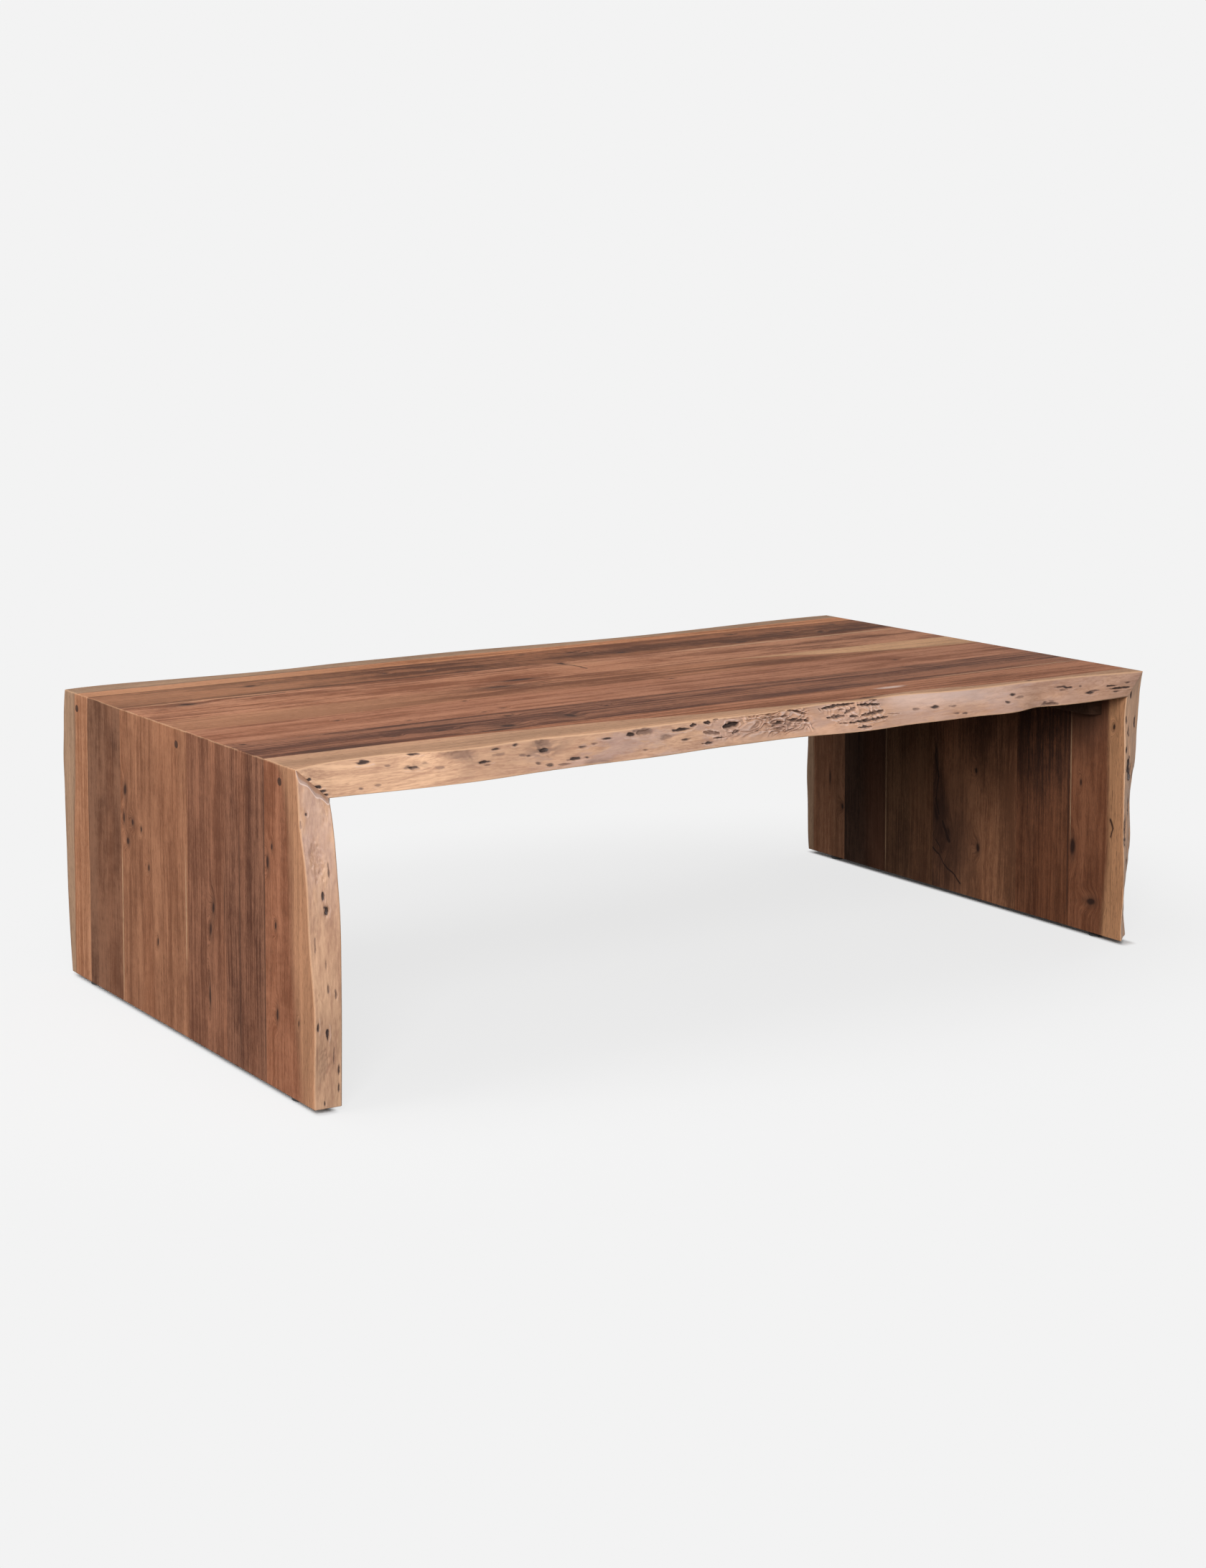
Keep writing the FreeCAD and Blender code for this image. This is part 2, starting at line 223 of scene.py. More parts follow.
def tube_mesh(name, columns, rows, place, attributes=()):
    """A closed skin from a grid: rows go round it, columns go along it, and both ends are filled.

    place(column, row) gives a point and the values of the skin's attributes there.
    """
    shape = bmesh.new()
    layers = [shape.verts.layers.float.new(attribute) for attribute in attributes]
    bmesh.ops.create_grid(shape, x_segments=columns - 1, y_segments=rows, size=1.0)
    for vertex in shape.verts:
        column = round((vertex.co.x + 1) / 2 * (columns - 1))
        row = round((vertex.co.y + 1) / 2 * rows) % rows
        vertex.co, values = place(column, row)
        for layer, value in zip(layers, values):
            vertex[layer] = value
    bmesh.ops.remove_doubles(shape, verts=shape.verts, dist=WELD)
    rims = [edge for edge in shape.edges if edge.is_boundary]
    bmesh.ops.holes_fill(shape, edges=rims, sides=0)
    bmesh.ops.recalc_face_normals(shape, faces=shape.faces)
    return mesh_of(shape, name)


def smooth_by_angle(mesh, degrees):
    """Smooth shading with sharp edges past an angle."""
    shape = bmesh.new()
    shape.from_mesh(mesh)
    limit = math.radians(degrees)
    for face in shape.faces:
        face.smooth = True
    for edge in shape.edges:
        edge.smooth = len(edge.link_faces) == 2 and edge.calc_face_angle(0.0) < limit
    shape.to_mesh(mesh)
    shape.free()


def blur_step(value, low, high):
    """Smooth step from 0 at low to 1 at high."""
    share = min(max((value - low) / (high - low), 0.0), 1.0)
    return share * share * (3 - 2 * share)


# Shares of a rounding at which a board gets a cross-section
FILLET_SHARES = (0.15, 0.35, 0.6, 1.0)


def stations(run, step, fine_step, fine_spans, start_fillet, end_fillet):
    """Shares of the run at which a board gets a cross-section."""
    places = {0.0, run}
    for share in FILLET_SHARES:
        places |= {share * start_fillet, run - share * end_fillet}
    inside = max(start_fillet, end_fillet) * 1.5
    place = inside
    while place < run - inside:
        places.add(place)
        fine = any(low < place < high for low, high in fine_spans)
        place += fine_step if fine else step
    return [place / run for place in sorted(places)]


def fillet_depth(reach, radius):
    """Depth of a rounded mitre corner at a distance from the mitre plane."""
    if reach >= radius:
        return 0.0
    turn = math.acos(max(reach, 0.0) / (radius * math.sqrt(2))) - math.pi / 4
    return radius * (1 - math.cos(turn))


# How far from a board's ends and faces its live edge is still read
END_CLEAR = 0.6 * mm
FACE_CLEAR = 0.15 * mm


class EdgeLine:
    """Front or back line of a board, either a straight glue line or the CAD board's live edge."""

    def __init__(self, node, slab, front, live):
        self.slab = slab
        self.live = live
        self.front = front
        low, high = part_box(node)
        self.y = low.y if front else high.y
        if live:
            graph = bpy.context.evaluated_depsgraph_get()
            self.tree = BVHTree.FromObject(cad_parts[node], graph)

    def at(self, share, depth):
        """The line's y at a share of the slab's run and at a depth."""
        if not self.live:
            return self.y
        clear = END_CLEAR / self.slab.run
        share = min(max(share, clear), 1 - clear)
        depth = min(max(depth, FACE_CLEAR), thickness - FACE_CLEAR)
        side = -1 if self.front else 1
        start = self.slab.point(share, side, depth)
        hit = self.tree.ray_cast(start, Vector((0, -side, 0)))[0]
        return hit.y


# The corners of a cross-section in their order, and the face that follows each
CORNERS = ("outer_front", "inner_front", "inner_back", "outer_back")
FACES = ("front", "inner", "back", "outer")
SOFT_ROWS = 6
QUIET_ROWS = 10


class Section:
    """Rows of a board's cross-section, walked from the outer back corner round the front."""

    def __init__(self, sizes, front_live, back_live):
        live = {"front": front_live, "back": back_live}
        quiet = QUIET_ROWS if front_live or back_live else 1
        self.rows = []
        for number, corner in enumerate(CORNERS):
            face = FACES[number - 1]
            count = sizes.live_rows * live[face] if face in live else quiet
            self.rows += [(face, (row + 1) / (count + 1)) for row in range(count)]
            if live[corner.split("_")[1]]:
                self.rows += [(corner, row / (SOFT_ROWS - 1)) for row in range(SOFT_ROWS)]
            else:
                self.rows.append((corner, 0.5))

    def points(self, front_outer, front_inner, back_outer, back_inner, reach_front, reach_back):
        """The section's points as (y, depth, face, live) in the order of its rows."""
        corners = (
            (Vector((front_outer, 0)), reach_front), (Vector((front_inner, thickness)), reach_front),
            (Vector((back_inner, thickness)), reach_back), (Vector((back_outer, 0)), reach_back),
        )
        result = []
        for name, share in self.rows:
            if name in FACES:
                number = FACES.index(name)
                one, reach_one = corners[number]
                two, reach_two = corners[(number + 1) % len(corners)]
                way = (two - one).normalized()
                spot = (one + way * reach_one).lerp(two - way * reach_two, share)
                live = 1.0 if name in ("front", "back") else 0.0
            else:
                number = CORNERS.index(name)
                corner, reach = corners[number]
                before, after = corners[number - 1][0], corners[(number + 1) % len(corners)][0]
                start = corner + (before - corner).normalized() * reach
                end = corner + (after - corner).normalized() * reach
                spot = start.lerp(corner, share).lerp(corner.lerp(end, share), share)
                rising = name in ("outer_front", "inner_back")
                live = (share if rising else 1 - share) if reach > 0 else 0.0
            result.append((spot.x, spot.y, name, live))
        return result


# Pits, hollows and ridges of the natural edges. Each row is (place along, depth below the outer
# face, half length, half height, depth of the pit, how dark), in mm. The place along is x on the
# top and z on a leg.
TOP_PITS = (
    (-671, 13, 6, 1.5, 1.5, 0.9), (-661, 22, 7, 2.0, 2.0, 1.0), (-656, 27, 6, 1.6, 1.5, 1.0),
    (-652, 31, 5, 1.6, 1.5, 0.9), (-585, 5.5, 9, 2.1, 3.0, 0.95), (-517, 2.0, 9, 1.4, 1.8, 0.8),
    (-526, 15.5, 10, 2.1, 2.6, 0.7), (-512, 14.0, 14, 4.0, 1.6, 0.2), (-555, 11, 4, 1.4, 0.6, 0.4),
    (-508, 12, 4, 1.2, 0.6, 0.4), (-493, 17.5, 7, 2.0, 0.7, 0.4), (-605, 29.5, 4, 1.2, 0.8, 0.6),
    (-583, 28, 5, 1.3, 0.8, 0.5), (-463, 6, 26, 6.0, 2.2, 0.12), (-433, 16.5, 10, 1.7, 2.2, 0.85),
    (-430, 19.5, 6, 1.2, 0.8, 0.5), (-408, 5.0, 8, 1.4, 1.4, 0.7), (-377, 3.8, 5, 1.4, 1.4, 0.8),
    (-407, 11, 11, 2.2, 0.6, 0.3), (-372, 15.5, 5, 1.4, 0.8, 0.5), (-364, 17, 4, 1.3, 0.8, 0.6),
    (-355, 26, 4, 1.5, 0.8, 0.6), (-339, 13.8, 8, 2.8, 4.0, 1.0), (-336, 6.0, 12, 4.0, 2.4, 0.35),
    (-340, 29.5, 7, 2.2, 1.6, 0.65), (-318, 30.5, 11, 1.2, 1.0, 0.5), (-301, 26.5, 12, 1.7, 1.8, 0.85),
    (-282, 26.5, 3, 1.0, 0.8, 0.7), (-285, 14.5, 6, 1.5, 1.2, 0.65), (-266, 12.4, 4, 1.3, 1.0, 0.45),
    (-245, 8.0, 7, 1.3, 1.4, 0.85), (-207, 7.0, 8, 2.7, 3.8, 0.9), (-186, 6.6, 18, 4.2, 3.2, 0.5),
    (-156, 15.5, 12, 4.0, 2.0, 0.3), (-128, 9.0, 15, 1.9, 3.0, 1.0), (-126, 20.5, 8, 1.4, 1.2, 0.7),
    (-73, 23.5, 8, 1.2, 1.0, 0.75), (-94, 28, 9, 1.8, 1.4, 0.7), (-195, 25.6, 4, 1.2, 0.8, 0.6),
    (263, 18.8, 7, 1.4, 0.9, 0.5), (295, 18.3, 7, 2.0, 1.8, 0.8),
    (324, 19.1, 6, 1.2, 0.8, 0.5), (324, 28, 6, 1.2, 0.8, 0.6), (339, 29.3, 6, 1.4, 0.9, 0.6),
    (420, 22, 6, 1.6, 1.2, 0.7), (436, 14, 6, 1.6, 1.2, 0.8), (446, 18, 9, 2.0, 0.8, 0.4),
    (502, 34, 15, 4.5, 3.6, 0.6), (530, 11.5, 10, 1.3, 1.6, 0.65), (543, 13.5, 9, 1.4, 2.2, 0.8),
    (534, 15.5, 11, 1.2, 1.2, 0.5), (578, 23.3, 9, 2.0, 2.6, 0.75), (588, 21, 10, 1.3, 1.4, 0.6),
    (566, 13, 3, 1.4, 0.8, 0.6), (622, 17, 9, 1.3, 2.4, 0.75), (634, 21, 15, 1.5, 3.2, 0.85),
    (648, 21.5, 9, 1.4, 2.4, 0.8), (628, 25, 9, 1.2, 1.6, 0.65), (652, 14.5, 5, 1.4, 1.2, 0.6),
)
# Grooves of the burl, each as (place and depth of one end, place and depth of the other, half width,
# depth of the groove, how dark), in mm.
TOP_GROOVES = (
    (111, 6.0, 164, 2.5, 1.9, 3.0, 0.9), (111, 16.5, 139, 16.0, 2.2, 2.6, 0.75),
    (142, 13.0, 164, 7.5, 1.9, 2.4, 0.7), (168, 5.0, 206, 7.5, 1.9, 3.0, 0.9),
    (165, 17.5, 207, 15.0, 2.5, 2.8, 0.75), (141, 24.5, 207, 22.5, 1.9, 2.8, 0.8),
    (148, 30.0, 170, 30.5, 1.6, 2.4, 0.9), (192, 1.0, 207, 2.0, 1.3, 2.0, 0.9),
    (146, 17.0, 159, 18.0, 1.9, 2.2, 0.8), (125, 24.0, 138, 24.0, 1.3, 1.6, 0.7),
    (134, 9.0, 144, 8.5, 0.9, 1.2, 0.6), (106, 5.0, 108, 8.0, 1.6, 1.6, 0.6),
    (2, 7.0, 48, 8.0, 1.3, 2.4, 0.6), (16, 17.5, 38, 14.5, 2.2, 2.8, 0.7),
    (46, 13.0, 80, 17.0, 2.2, 2.8, 0.65), (49, 1.5, 60, 2.5, 1.3, 2.0, 0.9),
    (60, 2.5, 81, 9.0, 1.9, 2.6, 0.65), (34, 1.0, 45, 1.0, 1.3, 2.0, 0.85),
    (7, 10.5, 20, 9.0, 1.9, 1.6, 0.4), (-60, 12.0, -37, 9.5, 4.1, 5.5, 1.0),
    (-89, 4.5, -78, 5.0, 1.9, 2.4, 0.9), (-111, 6.0, -101, 5.0, 1.9, 2.4, 0.9),
    (-94, 15.0, -70, 18.5, 2.8, 2.6, 0.6), (-50, 20.5, -38, 18.0, 1.9, 2.2, 0.7),
    (-73, 2.0, -65, 1.5, 1.3, 1.8, 0.85), (-82, 23.0, -65, 24.0, 0.8, 1.2, 0.9),
    (-103, 27.5, -87, 28.5, 1.3, 1.8, 0.9), (210, 19.5, 232, 21.0, 0.9, 0.8, 0.4),
    (-32, 2.0, 1, 3.5, 1.6, 1.2, 0.2), (-17, 20.5, 35, 23.0, 0.8, 0.8, 0.35),
)
LEFT_PITS = (
    (354, 8, 3, 1.3, 1.2, 0.9), (341, 1.5, 6, 1.3, 1.0, 0.5), (287, 26, 11, 1.2, 1.2, 0.55),
    (258, 18, 6, 1.6, 1.6, 0.9), (242, 21, 6, 2.5, 3.4, 1.0), (202, 7, 10, 1.0, 0.8, 0.4),
    (178, 18, 6, 1.2, 0.8, 0.35), (150, 19, 6, 1.6, 1.0, 0.6), (143, 28, 6, 1.4, 1.0, 0.6),
    (107, 5, 7, 1.5, 1.8, 0.85), (97, 17, 8, 1.8, 2.6, 1.0), (71, 25, 14, 0.9, 0.8, 0.4),
    (53, 31, 9, 1.3, 1.4, 0.7), (30, 31, 7, 1.3, 1.4, 0.7), (14, 13, 3, 1.3, 1.0, 0.8),
    (60, 14, 22, 7.0, 1.4, 0.1), (300, 15, 26, 8.0, 1.6, 0.1),
)
RIGHT_PITS = (
    (372, 24, 6, 2.2, 2.4, 0.9), (336, 31, 6, 1.6, 1.6, 0.7), (318, 26, 8, 1.8, 1.6, 0.7),
    (292, 31, 6, 1.8, 1.8, 0.8), (266, 24, 15, 3.4, 4.0, 1.0), (250, 17, 10, 3.0, 3.4, 0.9),
    (175, 31, 18, 2.6, 3.0, 0.9), (160, 27, 12, 2.4, 2.6, 0.8), (205, 12, 14, 3.4, 3.4, 0.9),
    (120, 18, 10, 2.4, 2.0, 0.8), (90, 9, 9, 2.2, 2.0, 0.8), (330, 10, 9, 2.2, 2.2, 0.8),
)
BACK_PITS = (
    (-560, 14, 9, 2.2, 2.2, 0.9), (-430, 22, 12, 2.4, 2.4, 1.0), (-300, 9, 8, 2.0, 2.0, 0.9),
    (-185, 20, 14, 3.0, 3.0, 1.0), (-60, 12, 9, 2.0, 2.0, 0.9), (70, 24, 11, 2.6, 2.6, 1.0),
    (210, 10, 12, 2.4, 2.4, 0.9), (345, 19, 10, 2.6, 2.8, 1.0), (470, 27, 9, 2.0, 2.0, 0.9),
    (600, 13, 12, 2.6, 2.6, 1.0),
)
BACK_LEG_PITS = (
    (340, 14, 9, 2.2, 2.4, 0.9), (262, 24, 12, 2.6, 2.6, 1.0), (180, 11, 8, 2.0, 2.0, 0.8),
    (110, 21, 11, 2.6, 2.8, 1.0), (48, 12, 7, 1.8, 1.8, 0.8),
)

EDGE_PITS = {
    (TOP, True): TOP_PITS, (LEFT, True): LEFT_PITS, (RIGHT, True): RIGHT_PITS,
    (TOP, False): BACK_PITS, (LEFT, False): BACK_LEG_PITS, (RIGHT, False): BACK_LEG_PITS,
}
# A groove at least this deep, in mm, is the burl's eye, with rings round it
EYE_DEPTH = 4

# The burl on the front edge of the top, in mm along x, and the seed of its swirls
BURL_START = -118
BURL_HEART = 30
BURL_END = 214
SWIRL_SEED = 14


def wave_at(along, depth, reach, height, layer):
    """Noise from -1 to 1 whose waves are about so long and so high, in mm."""
    return noise.noise(Vector((along / reach, depth / height, layer)))


def near_pit(pit, along, depth):
    """Distance from a pit's middle and place below it, in half sizes, or None far from it."""
    place, level, half_run, half_rise = pit[:4]
    if abs(along - place) > 3.2 * half_run:
        return None
    tilt = (depth - level) / half_rise
    return math.hypot((along - place) / half_run, tilt), tilt


def near_groove(groove, along, depth):
    """Distance from a groove's middle line and place below it, in half widths, or None far off."""
    run, level, far_run, far_level, half_width = groove[:5]
    if abs(along - (run + far_run) / 2) > (far_run - run) / 2 + 4 * half_width:
        return None
    way = Vector((far_run - run, far_level - level))
    spot = Vector((along - run, depth - level))
    share = min(max(spot.dot(way) / way.length_squared, 0.0), 1.0)
    taper = 1 - 0.55 * (2 * share - 1) ** 2
    beside = min(max((along - run) / (far_run - run), 0.0), 1.0)
    tilt = (depth - level - beside * (far_level - level)) / half_width
    return (spot - way * share).length / (half_width * taper), tilt


def holes_cut(pits, grooves, along, depth):
    """Depth of the pits and grooves at a place in mm, and how dark they are, partly darker wood and partly
    painted shade; the upper wall is darkest as painted shadow, a raised lip gets a painted highlight as a
    negative value, and the rings of the burl's eye get painted shade and highlight.
    """
    wander = wave_at(along, depth, 6, 3.2, 5)
    wrinkle = wave_at(along, depth, 3, 1.3, 31)
    cut = dark = lip = ring = 0.0
    for near_one, rows in ((near_pit, pits), (near_groove, grooves)):
        for row in rows:
            near = near_one(row, along, depth)
            if near is None:
                continue
            gap, tilt = near[0] + 0.5 * wander, near[1]
            deep, strength = row[-2:]
            eye = rows is grooves and deep >= EYE_DEPTH
            if rows is grooves:
                gap += 0.0 if eye else 0.3 * wander + 0.5 * wrinkle
                below = 1.0
                strength *= 0.85
            else:
                # A pit's painted highlight sits only on the lower part of its lip
                below = 0.8 * strength * blur_step(tilt, 0.1, 0.9)
            hole = 0.8 * (1 - blur_step(gap, 0.3, 1.05)) + 0.2 * (1 - blur_step(gap, 0.6, 2.1))
            cut = max(cut, deep * hole)
            # Painted shadow: the tilt makes the upper wall of a pit or groove darker than its lower part
            shaded = gap + 0.35 * tilt
            core = 0.88 * (1 - blur_step(shaded, 0.6, 1.05)) + 0.12 * (1 - blur_step(gap, 0.8, 2.1))
            dark = max(dark, strength * core)
            lip = max(lip, below * blur_step(gap, 1.0, 1.35) * (1 - blur_step(gap, 1.45, 2.1)))
            if eye:
                ring += math.cos(5 * gap) * blur_step(gap, 1.0, 1.4) * (1 - blur_step(gap, 1.8, 3.2))
    inside = min(cut, 1.0)
    lip *= 1 - inside
    return cut + 0.7 * wrinkle * inside - 0.7 * lip + 0.6 * ring, dark - 0.75 * lip + 0.3 * ring


def burl_cut(along, depth):
    """Depth of the wrinkles of the burl, in mm, and their painted shade: darker in the troughs, with a
    painted highlight as a negative value on the crests.
    """
    strength = blur_step(along, BURL_START, BURL_HEART) * (1 - blur_step(along, BURL_END - 22, BURL_END))
    if strength <= 0:
        return 0.0, 0.0
    lean = depth + 0.14 * (along - BURL_HEART)
    place = Vector((along / 21, lean / 7, 3.7))
    swirl = noise.noise_vector(place * 0.7) * 0.7
    fold = math.sin(2 * math.pi * (2.1 * noise.noise(place * 0.9 + swirl) + lean / 13))
    rough = abs(noise.turbulence(place * 1.4 + swirl, 3, False))
    share = strength * blur_step(depth, -1.0, 3.0) * (1 - blur_step(depth, 24, 32))
    share *= 1 - 0.92 * blur_step(along, 78, 94) * (1 - 0.5 * blur_step(along, 106, 120))
    # Painted shade in the troughs, where the fold cuts deepest, and painted highlight on the crests
    shade = 0.4 * blur_step(fold, 0.2, 1.0) - 0.55 * blur_step(-fold, 0.55, 1.0)
    return share * (1.3 * fold + 1.3 + 1.6 * blur_step(rough, 0.1, 0.7)), share * shade


def natural_cut(slab, front, along, depth, sizes):
    """How far a natural edge lies inside the plain edge at a place in mm, and how dark it is painted: partly
    darker wood and partly painted shade in its pits, grooves and dips, with painted highlights on lips and
    ridges.
    """
    side = 0.0 if front else 40.0
    wave = 0.5 + 0.5 * wave_at(along, depth, 55, 24, side + slab.turn[1])
    small = 0.5 + 0.5 * wave_at(along, depth, 19, 7, side + 9)
    tiny = wave_at(along, depth, 6, 2.6, side + 17)
    rugged = 0.3
    if slab is TOP and front:
        rugged = 0.15 + 0.85 * blur_step(along, -510, -440) * (1 - blur_step(along, -250, -150))
    cut = sizes.ripple / mm * wave + (0.8 + 1.3 * rugged) * small + 0.22 * tiny
    hole, dark = holes_cut(EDGE_PITS[slab, front], TOP_GROOVES if slab is TOP and front else (), along, depth)
    if slab is TOP and front:
        dug, shade = burl_cut(along, depth)
        hole, dark = hole + dug, dark + shade * (1 - abs(dark))
    if slab is RIGHT and front:
        gnarl = blur_step(wave_at(along, depth, 24, 9, 71), 0.05, 0.5)
        gnarl *= 1 - 0.8 * blur_step(along, 260, 330)
        hole, dark = hole + 2.2 * gnarl, max(dark, 0.3 * gnarl)
    # Painted shade: where a rugged stretch dips deeper, it is darker
    dip_shade = 0.35 * rugged * blur_step(wave, 0.4, 0.8)
    return max(cut + hole, 0.0), dark + dip_shade * (1 - abs(dark))


def facet_width(depth, sizes):
    """Width of the facet beside the left mitre, which wanders a little, at a depth in mm."""
    return sizes.facet * (1.05 + 0.5 * wave_at(depth, 0.5, 8, 1, 77))


# The fine groove on the top beside the left mitre, and the stretches with a finer mesh near the mitre
MITRE_GROOVE_WIDTH = 1.6 * mm
MITRE_GROOVE_DEPTH = 1.8 * mm
TOP_MITRE_SPAN = 40 * mm
LEG_MITRE_SPAN = 50 * mm
QUIET_STEP = 60 * mm


def mitre_cut(slab, front, reach, depth, sizes):
    """The facet on the left leg and the fine groove on the top where their mitre meets the front."""
    if not front or slab is RIGHT:
        return 0.0
    width = facet_width(depth, sizes) if slab is LEFT else MITRE_GROOVE_WIDTH
    dug = sizes.facet_depth if slab is LEFT else MITRE_GROOVE_DEPTH
    return dug * (1 - min(max(reach / width, 0.0), 1.0))


def board_mesh(name, node, slab, front_live, back_live, sizes):
    """One board as a closed skin, with natural edges where the tree's own edge was kept."""
    front = EdgeLine(node, slab, True, front_live)
    back = EdgeLine(node, slab, False, back_live)
    live = front_live or back_live
    fine = []
    if slab is TOP and front_live:
        fine = [(BURL_START * mm + half_length, BURL_END * mm + half_length), (0, TOP_MITRE_SPAN)]
    elif slab is LEFT and front_live:
        fine = [(slab.run - LEG_MITRE_SPAN, slab.run)]
    shares = stations(slab.run, sizes.live_step if live else QUIET_STEP, sizes.burl_step, fine,
                      sizes.arris if slab is TOP else sizes.foot_bevel, sizes.arris)
    section = Section(sizes, front_live, back_live)
    soft_front = sizes.soft_edge if front_live else 0.0
    soft_back = sizes.soft_edge if back_live else 0.0

    def column_points(column):
        """The points of one cross-section, each with its live, hollow and facet values; the hollow value
        carries the darkness of the natural edge, partly darker wood and partly painted shade, and its painted
        highlights.
        """
        share = shares[column]
        start_reach = share * slab.run
        end_reach = slab.run - start_reach
        spots = section.points(front.at(share, 0), front.at(share, thickness),
                               back.at(share, 0), back.at(share, thickness), soft_front, soft_back)
        near = min(start_reach if slab.lead else slab.run, end_reach)
        corner = fillet_depth(near, sizes.arris)
        bevel = 0.0 if slab.lead else max(sizes.foot_bevel - start_reach, 0.0)
        result = []
        for y, depth, face, weight in spots:
            dark = facet = 0.0
            if weight > 0:
                at_front = face.endswith("front")
                spot = slab.point(share, y, depth)
                along = (spot.x if slab is TOP else spot.z) / mm
                cut, dark = natural_cut(slab, at_front, along, depth / mm, sizes)
                mitre_end = start_reach if slab is TOP else end_reach
                if slab is LEFT and at_front:
                    facet = min(max(1.5 - mitre_end / facet_width(depth / mm, sizes), 0.0), 1.5) * weight
                    cut *= 1 - min(facet, 1.0) * 0.8
                    dark *= 1 - min(facet, 1.0)
                cut = cut * mm * weight + mitre_cut(slab, at_front, mitre_end, depth / mm, sizes) * weight
                y += cut if at_front else -cut
                y += bevel if at_front else -bevel
                dark *= weight
            depth = min(max(depth, corner, bevel), thickness - bevel)
            result.append((slab.point(share, y, depth), (weight, dark, facet)))
        return result

    table = [column_points(column) for column in range(len(shares))]
    mesh = tube_mesh(name, len(shares), len(section.rows), lambda column, row: table[column][row],
                     ("live", "hollow", "facet"))
    smooth_by_angle(mesh, SHARP_ANGLE)
    return mesh


def round_edges(shape, edges, reach, segments):
    """Bevels edges with a round profile."""
    return bmesh.ops.bevel(shape, geom=list(edges), offset=reach, segments=segments, profile=0.5,
                           affect="EDGES", material=-1)


def cylinder(shape, centre, axis, radius, depth, bevel=0.0):
    """A closed cylinder from a centre on its first face along an axis, with a bevelled first rim."""
    made = bmesh.ops.create_cone(shape, cap_ends=True, segments=CYLINDER_SIDES, radius1=radius,
                                 radius2=radius, depth=depth)["verts"]
    bmesh.ops.translate(shape, verts=made, vec=(0, 0, depth / 2))
    if bevel:
        rim = {edge for vertex in made for edge in vertex.link_edges
               if all(abs(end.co.z) < WELD for end in edge.verts)}
        made_faces = round_edges(shape, rim, bevel, 3)
        made = list({vertex for face in made_faces["faces"] for vertex in face.verts}
                    | {vertex for vertex in made if vertex.is_valid})
    turn = Vector((0, 0, 1)).rotation_difference(Vector(axis)).to_matrix().to_4x4()
    bmesh.ops.transform(shape, matrix=Matrix.Translation(centre) @ turn, verts=made)


def island_boxes(node):
    """The boxes of a node's separate solids, in order along y and then along x."""
    shape = bmesh.new()
    shape.from_mesh(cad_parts[node].data)
    bmesh.ops.remove_doubles(shape, verts=shape.verts, dist=WELD)
    left_over = set(shape.verts)
    boxes = []
    while left_over:
        group = [left_over.pop()]
        for vertex in group:
            for edge in vertex.link_edges:
                other = edge.other_vert(vertex)
                if other in left_over:
                    left_over.remove(other)
                    group.append(other)
        low = Vector(tuple(min(vertex.co[axis] for vertex in group) for axis in range(3)))
        high = Vector(tuple(max(vertex.co[axis] for vertex in group) for axis in range(3)))
        boxes.append((low, high))
    shape.free()
    return sorted(boxes, key=lambda box: (round(box[0].y, 4), round(box[0].x, 4)))


def carve(mesh, cutter):
    """A mesh with a cutter taken away."""
    worked = bpy.data.objects.new("worked", mesh)
    tool = bpy.data.objects.new("tool", cutter)
    for thing in (worked, tool):
        bpy.context.scene.collection.objects.link(thing)
    change = worked.modifiers.new("holes", "BOOLEAN")
    change.operation = "DIFFERENCE"
    change.solver = "EXACT"
    change.object = tool
    graph = bpy.context.evaluated_depsgraph_get()
    carved = bpy.data.meshes.new_from_object(worked.evaluated_get(graph))
    carved.name = mesh.name
    for thing in (worked, tool):
        bpy.data.objects.remove(thing)
    return carved


def overlaps(box, other):
    """Whether two boxes overlap."""
    return all(box[0][axis] < other[1][axis] and box[1][axis] > other[0][axis] for axis in range(3))


def leg_cutter(slab, board_box, sizes):
    """The plug holes and foot wells of a leg that fall in one board, or None."""
    side = "left" if slab is LEFT else "right"
    overrun = 2 * mm
    well_gap = 0.05 * mm
    holes = []
    for low, high in island_boxes(side + "_screw_plugs"):
        start = Vector((slab.origin.x, (low.y + high.y) / 2, (low.z + high.z) / 2))
        radius = (high.y - low.y) / 2 + sizes.plug_gap
        holes.append(((low, high), start, slab.inward, radius, high.x - low.x))
    for low, high in island_boxes("foot_inserts"):
        start = Vector(((low.x + high.x) / 2, (low.y + high.y) / 2, low.z))
        radius = (high.x - low.x) / 2 + well_gap
        holes.append(((low, high), start, Vector((0, 0, 1)), radius, high.z - low.z))
    shape = bmesh.new()
    for box, start, axis, radius, depth in holes:
        if overlaps(box, board_box):
            cylinder(shape, start - axis * overrun, axis, radius, depth + overrun)
    if not shape.verts:
        shape.free()
        return None
    return mesh_of(shape, "cutter")


# Shaders

def dimmed(shade, factor):
    """A colour made darker, or lighter past 1."""
    return tuple(part * factor for part in shade)


class Value:
    """A socket that takes part in sums, each of which adds a Math node."""

    def __init__(self, shader, socket):
        self.shader = shader
        self.socket = socket

    def __add__(self, other):
        return self.shader.maths("ADD", self, other)

    def __radd__(self, other):
        return self.shader.maths("ADD", other, self)

    def __sub__(self, other):
        return self.shader.maths("SUBTRACT", self, other)

    def __rsub__(self, other):
        return self.shader.maths("SUBTRACT", other, self)

    def __mul__(self, other):
        return self.shader.maths("MULTIPLY", self, other)


